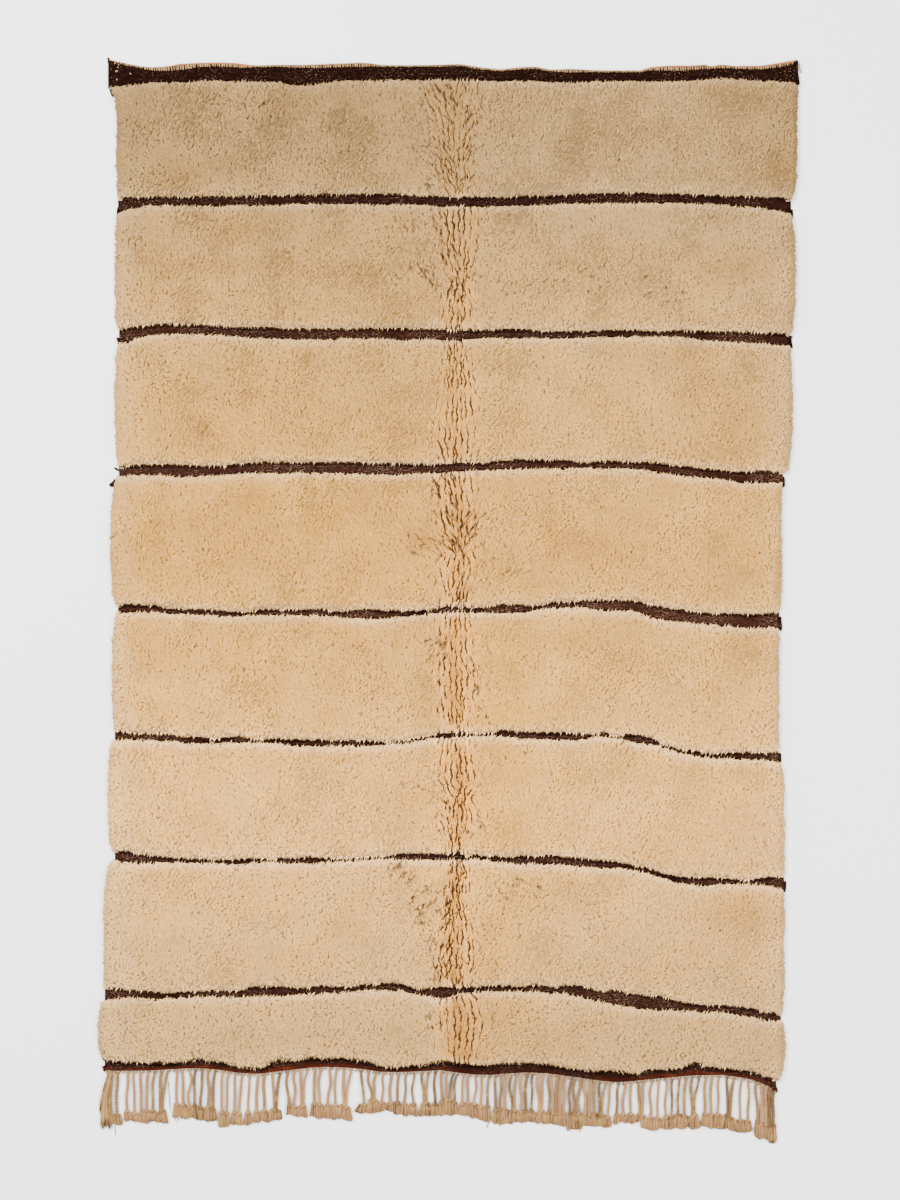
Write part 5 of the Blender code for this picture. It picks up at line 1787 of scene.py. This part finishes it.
def cord_path(number, down):
    """X and Y of a cord's middle at fractions of the way from the foot to its knot."""
    wave = np.sin(math.tau * SWAYS * down + sway_phase[number]) - math.sin(sway_phase[number])
    wave = sway[number] * wave * (1.0 - down) ** 0.5
    x = blend(knot_at[number, 0], cord_x[number], (1.0 - down) ** BEND_AT_TOP)
    hook = HOOK * (1.0 - down) ** HOOK_BEND
    return x + wave + hook, blend(cord_top[number], knot_at[number, 1], down)


# %% Lay the cords and their knots
cords = []
for number in range(CORD_COUNT):
    points = CORD[0]
    x, y = cord_path(number, points[:, 2])
    turn = rng.uniform(0.0, math.tau)
    thick = rng.uniform(0.85, 1.15)
    across = thick * (points[:, 0] * math.cos(turn) - points[:, 1] * math.sin(turn))
    up = thick * (points[:, 0] * math.sin(turn) + points[:, 1] * math.cos(turn))
    cords.append(spots_at(x + across, y, CORD_HEIGHT + up))
cord_tones = rng.uniform(-1.0, 1.0, CORD_COUNT)
cords = keep_above(np.array(cords), FLOOR_GAP)
cord_piece = join_copies("fringe_cords", cords, CORD, {"tone": cord_tones}, warp)


# One turn of a knot is a thick ring, a little squashed, and a knot has two that slant against each other
ring = {"major_segments": 9, "minor_segments": 5, "major_radius": 0.0042, "minor_radius": 0.0028}
WRAP = squashed(add_alone(bpy.ops.mesh.primitive_torus_add, "wrap", **ring), (1.0, 1.0, 0.85))
WRAP_TURNS = ((-0.0018, 0.45), (0.0020, -0.35))  # how far down a turn lies, and its slant
WRAP_HEIGHT = CORD_HEIGHT + 0.0004
wraps = []
for x, y in knot_at:
    for drop, tip in WRAP_TURNS:
        points = WRAP[0]
        along = points[:, 2] + (tip + rng.uniform(-0.15, 0.15)) * points[:, 0] + drop
        wraps.append(spots_at(x + points[:, 0], y - along, WRAP_HEIGHT + 0.9 * points[:, 1]))
wraps = keep_above(np.array(wraps), FLOOR_GAP)
knot_piece = join_copies("fringe_knots", wraps, WRAP, {"tone": np.repeat(cord_tones, 2)}, warp)

# %% [markdown]
# Below its knot each cord is brushed out into a tuft. Its locks fan out until they meet those of the next
# cord, and they end unevenly, so the clump becomes one ragged bar.

# %% Brush out the tufts
LOCKS_PER_TUFT = 24
TUFT_LOCK_WIDTH = 0.0027
TUFT_OVERLAP = 0.0030
TUFT_SCALLOP = 0.0036  # the outer locks of a tuft end this much higher
TUFT_RAGGED = 0.0055


def tuft_locks():
    """Root, tip and tone of every lock of the tufts, the tone darkened on the lower locks as painted shade.
    """
    starts, ends, tones = [], [], []
    for number in range(CORD_COUNT):
        x, y = knot_at[number]
        end_x, end_y = tuft_end[number]
        spread = np.linspace(-1.0, 1.0, LOCKS_PER_TUFT) + rng.normal(0.0, 0.10, LOCKS_PER_TUFT)
        half = tuft_half[number] + TUFT_OVERLAP
        tip_x = np.clip(end_x + half * spread, *tuft_sides[number])
        ragged = TUFT_RAGGED * uneven(tip_x, 0.0, 0.016, 80.0)
        ragged = ragged + rng.uniform(-0.0025, 0.0045, LOCKS_PER_TUFT) + TUFT_SCALLOP * spread**2
        height = rng.uniform(0.2, 1.0, LOCKS_PER_TUFT)
        root_x = blend(x, end_x, 0.3) + 0.58 * half * spread
        root_y = y + rng.uniform(-0.003, 0.003, LOCKS_PER_TUFT)
        starts.append(spots_at(root_x, root_y, 0.002 + 0.005 * height))
        ends.append(spots_at(tip_x, end_y + ragged, 0.0010 + 0.0032 * height))
        # Painted shade: the lower a lock lies, the darker its tone
        tone = cord_tones[number] * 0.5 + 1.1 * (height - 0.55)
        tones.append(tone + rng.normal(0.0, 0.65, LOCKS_PER_TUFT))
    return (np.concatenate(starts), np.concatenate(ends)), np.concatenate(tones)


def tuft_masks(copies):
    return {"tone": tuft_tones_and_shade}


tuft_ends, tuft_tones_and_shade = tuft_locks()
tuft_widths = TUFT_LOCK_WIDTH * rng.uniform(0.75, 1.3, len(tuft_tones_and_shade))
tuft_piece = lay_piece(
    "fringe_tufts", BRUSHED_LOCK, tuft_ends, tuft_widths, 0.6, 0.9, tuft_masks, warp, 0.85, FLOOR_GAP
)

# %% [markdown]
# The left corner carries a thick loose tassel, never twisted, that fans out as it goes down. A few thin
# wisps have worked loose from the other clumps.

# %% The corner tassel and the wisps
TASSEL_LOCKS = 80
TASSEL_ROOT = (-0.984, -1.362)
TASSEL_END = (-0.998, -1.522)
TASSEL_BOW = 0.006  # how far its locks bow to the left on their way down
TASSEL_LENGTH = 0.15
TASSEL_LOCK_WIDTH = 0.0034
WISP_THICKNESS = 0.0013
# Start and end of each wisp, in millimetres
WISPS = (
    (-806, -1486, -792, -1512), (-800, -1478, -784, -1508), (-792, -1480, -776, -1506),
    (-972, -1500, -972, -1552), (-640, -1500, -648, -1528), (112, -1505, 104, -1530),
    (386, -1515, 372, -1540), (884, -1500, 880, -1540), (-818, -1390, -812, -1480),
    (268, -1480, 262, -1515), (620, -1500, 612, -1536),
)
tassel_spread = np.clip(rng.normal(0.0, 0.5, TASSEL_LOCKS), -1.0, 1.0)
tassel_short = rng.uniform(-0.014, 0.050, TASSEL_LOCKS) * (0.5 + np.abs(tassel_spread))
tassel_height = rng.random(TASSEL_LOCKS)
root_x = TASSEL_ROOT[0] + 0.006 * tassel_spread
root_y = TASSEL_ROOT[1] - 0.02 * rng.random(TASSEL_LOCKS)
tassel_roots = spots_at(root_x, root_y, 0.002 + 0.007 * tassel_height)
end_x = TASSEL_END[0] + 0.017 * tassel_spread
tassel_tips = spots_at(end_x, TASSEL_END[1] + tassel_short, 0.001 + 0.005 * tassel_height)
start_x, start_y, wisp_x, wisp_y = np.array(WISPS).T * MM
loose_widths = TASSEL_LOCK_WIDTH * rng.uniform(0.8, 1.2, TASSEL_LOCKS)
loose_widths = np.append(loose_widths, np.full(len(WISPS), WISP_THICKNESS))
loose_twist = rng.uniform(-0.5, 0.5, TASSEL_LOCKS + len(WISPS))
loose_roots = np.concatenate([tassel_roots, spots_at(start_x, start_y, 0.003)])
loose_tips = np.concatenate([tassel_tips, spots_at(wisp_x, wisp_y, 0.001)])
tassel = lay_locks(LONG_LOCK, loose_roots, loose_tips, loose_widths, 0.7, loose_twist, curl=0.9)
down = (TASSEL_ROOT[1] - tassel[:TASSEL_LOCKS, :, 1]) / TASSEL_LENGTH
tassel[:TASSEL_LOCKS, :, 0] -= TASSEL_BOW * np.sin(math.pi * np.clip(down, 0.0, 1.0))
tassel = keep_above(tassel, FLOOR_GAP)
tassel_masks = {"tone": rng.uniform(-1.0, 0.2, len(tassel))}
tassel_piece = join_copies("corner_tassel", tassel, LONG_LOCK, tassel_masks, warp)

# %% [markdown]
# ## Putting the pieces on the body
# Every piece lies on the one body, and stands for the solid that it covers, which is hidden.

# %% Bodies and replaced solids
pile_group = [underwool, *pile_pieces, rim_piece, wisp_piece]
band_group = [hair_piece, yarn_piece]
heading_group = [cord, stitch_piece, speck_piece]
fringe_group = [twine_piece, cord_piece, knot_piece, tuft_piece, tassel_piece]
for slot, solid, group in (
    ("flatweave_wool", "rug", [ground, *band_group]),
    ("pile_wool", "rug", pile_group),
    ("edge_wool", "heading_edge", heading_group),
    ("fringe_wool", "fringe", fringe_group),
):
    for piece in group:
        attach(piece, "root")
        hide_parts(solid)

others = [*band_group, *pile_group, *heading_group, *fringe_group]
triangle_total = 0
for piece in (ground, *others):
    piece.data.calc_loop_triangles()
    triangle_total += len(piece.data.loop_triangles)
print(triangle_total, "triangles in all")
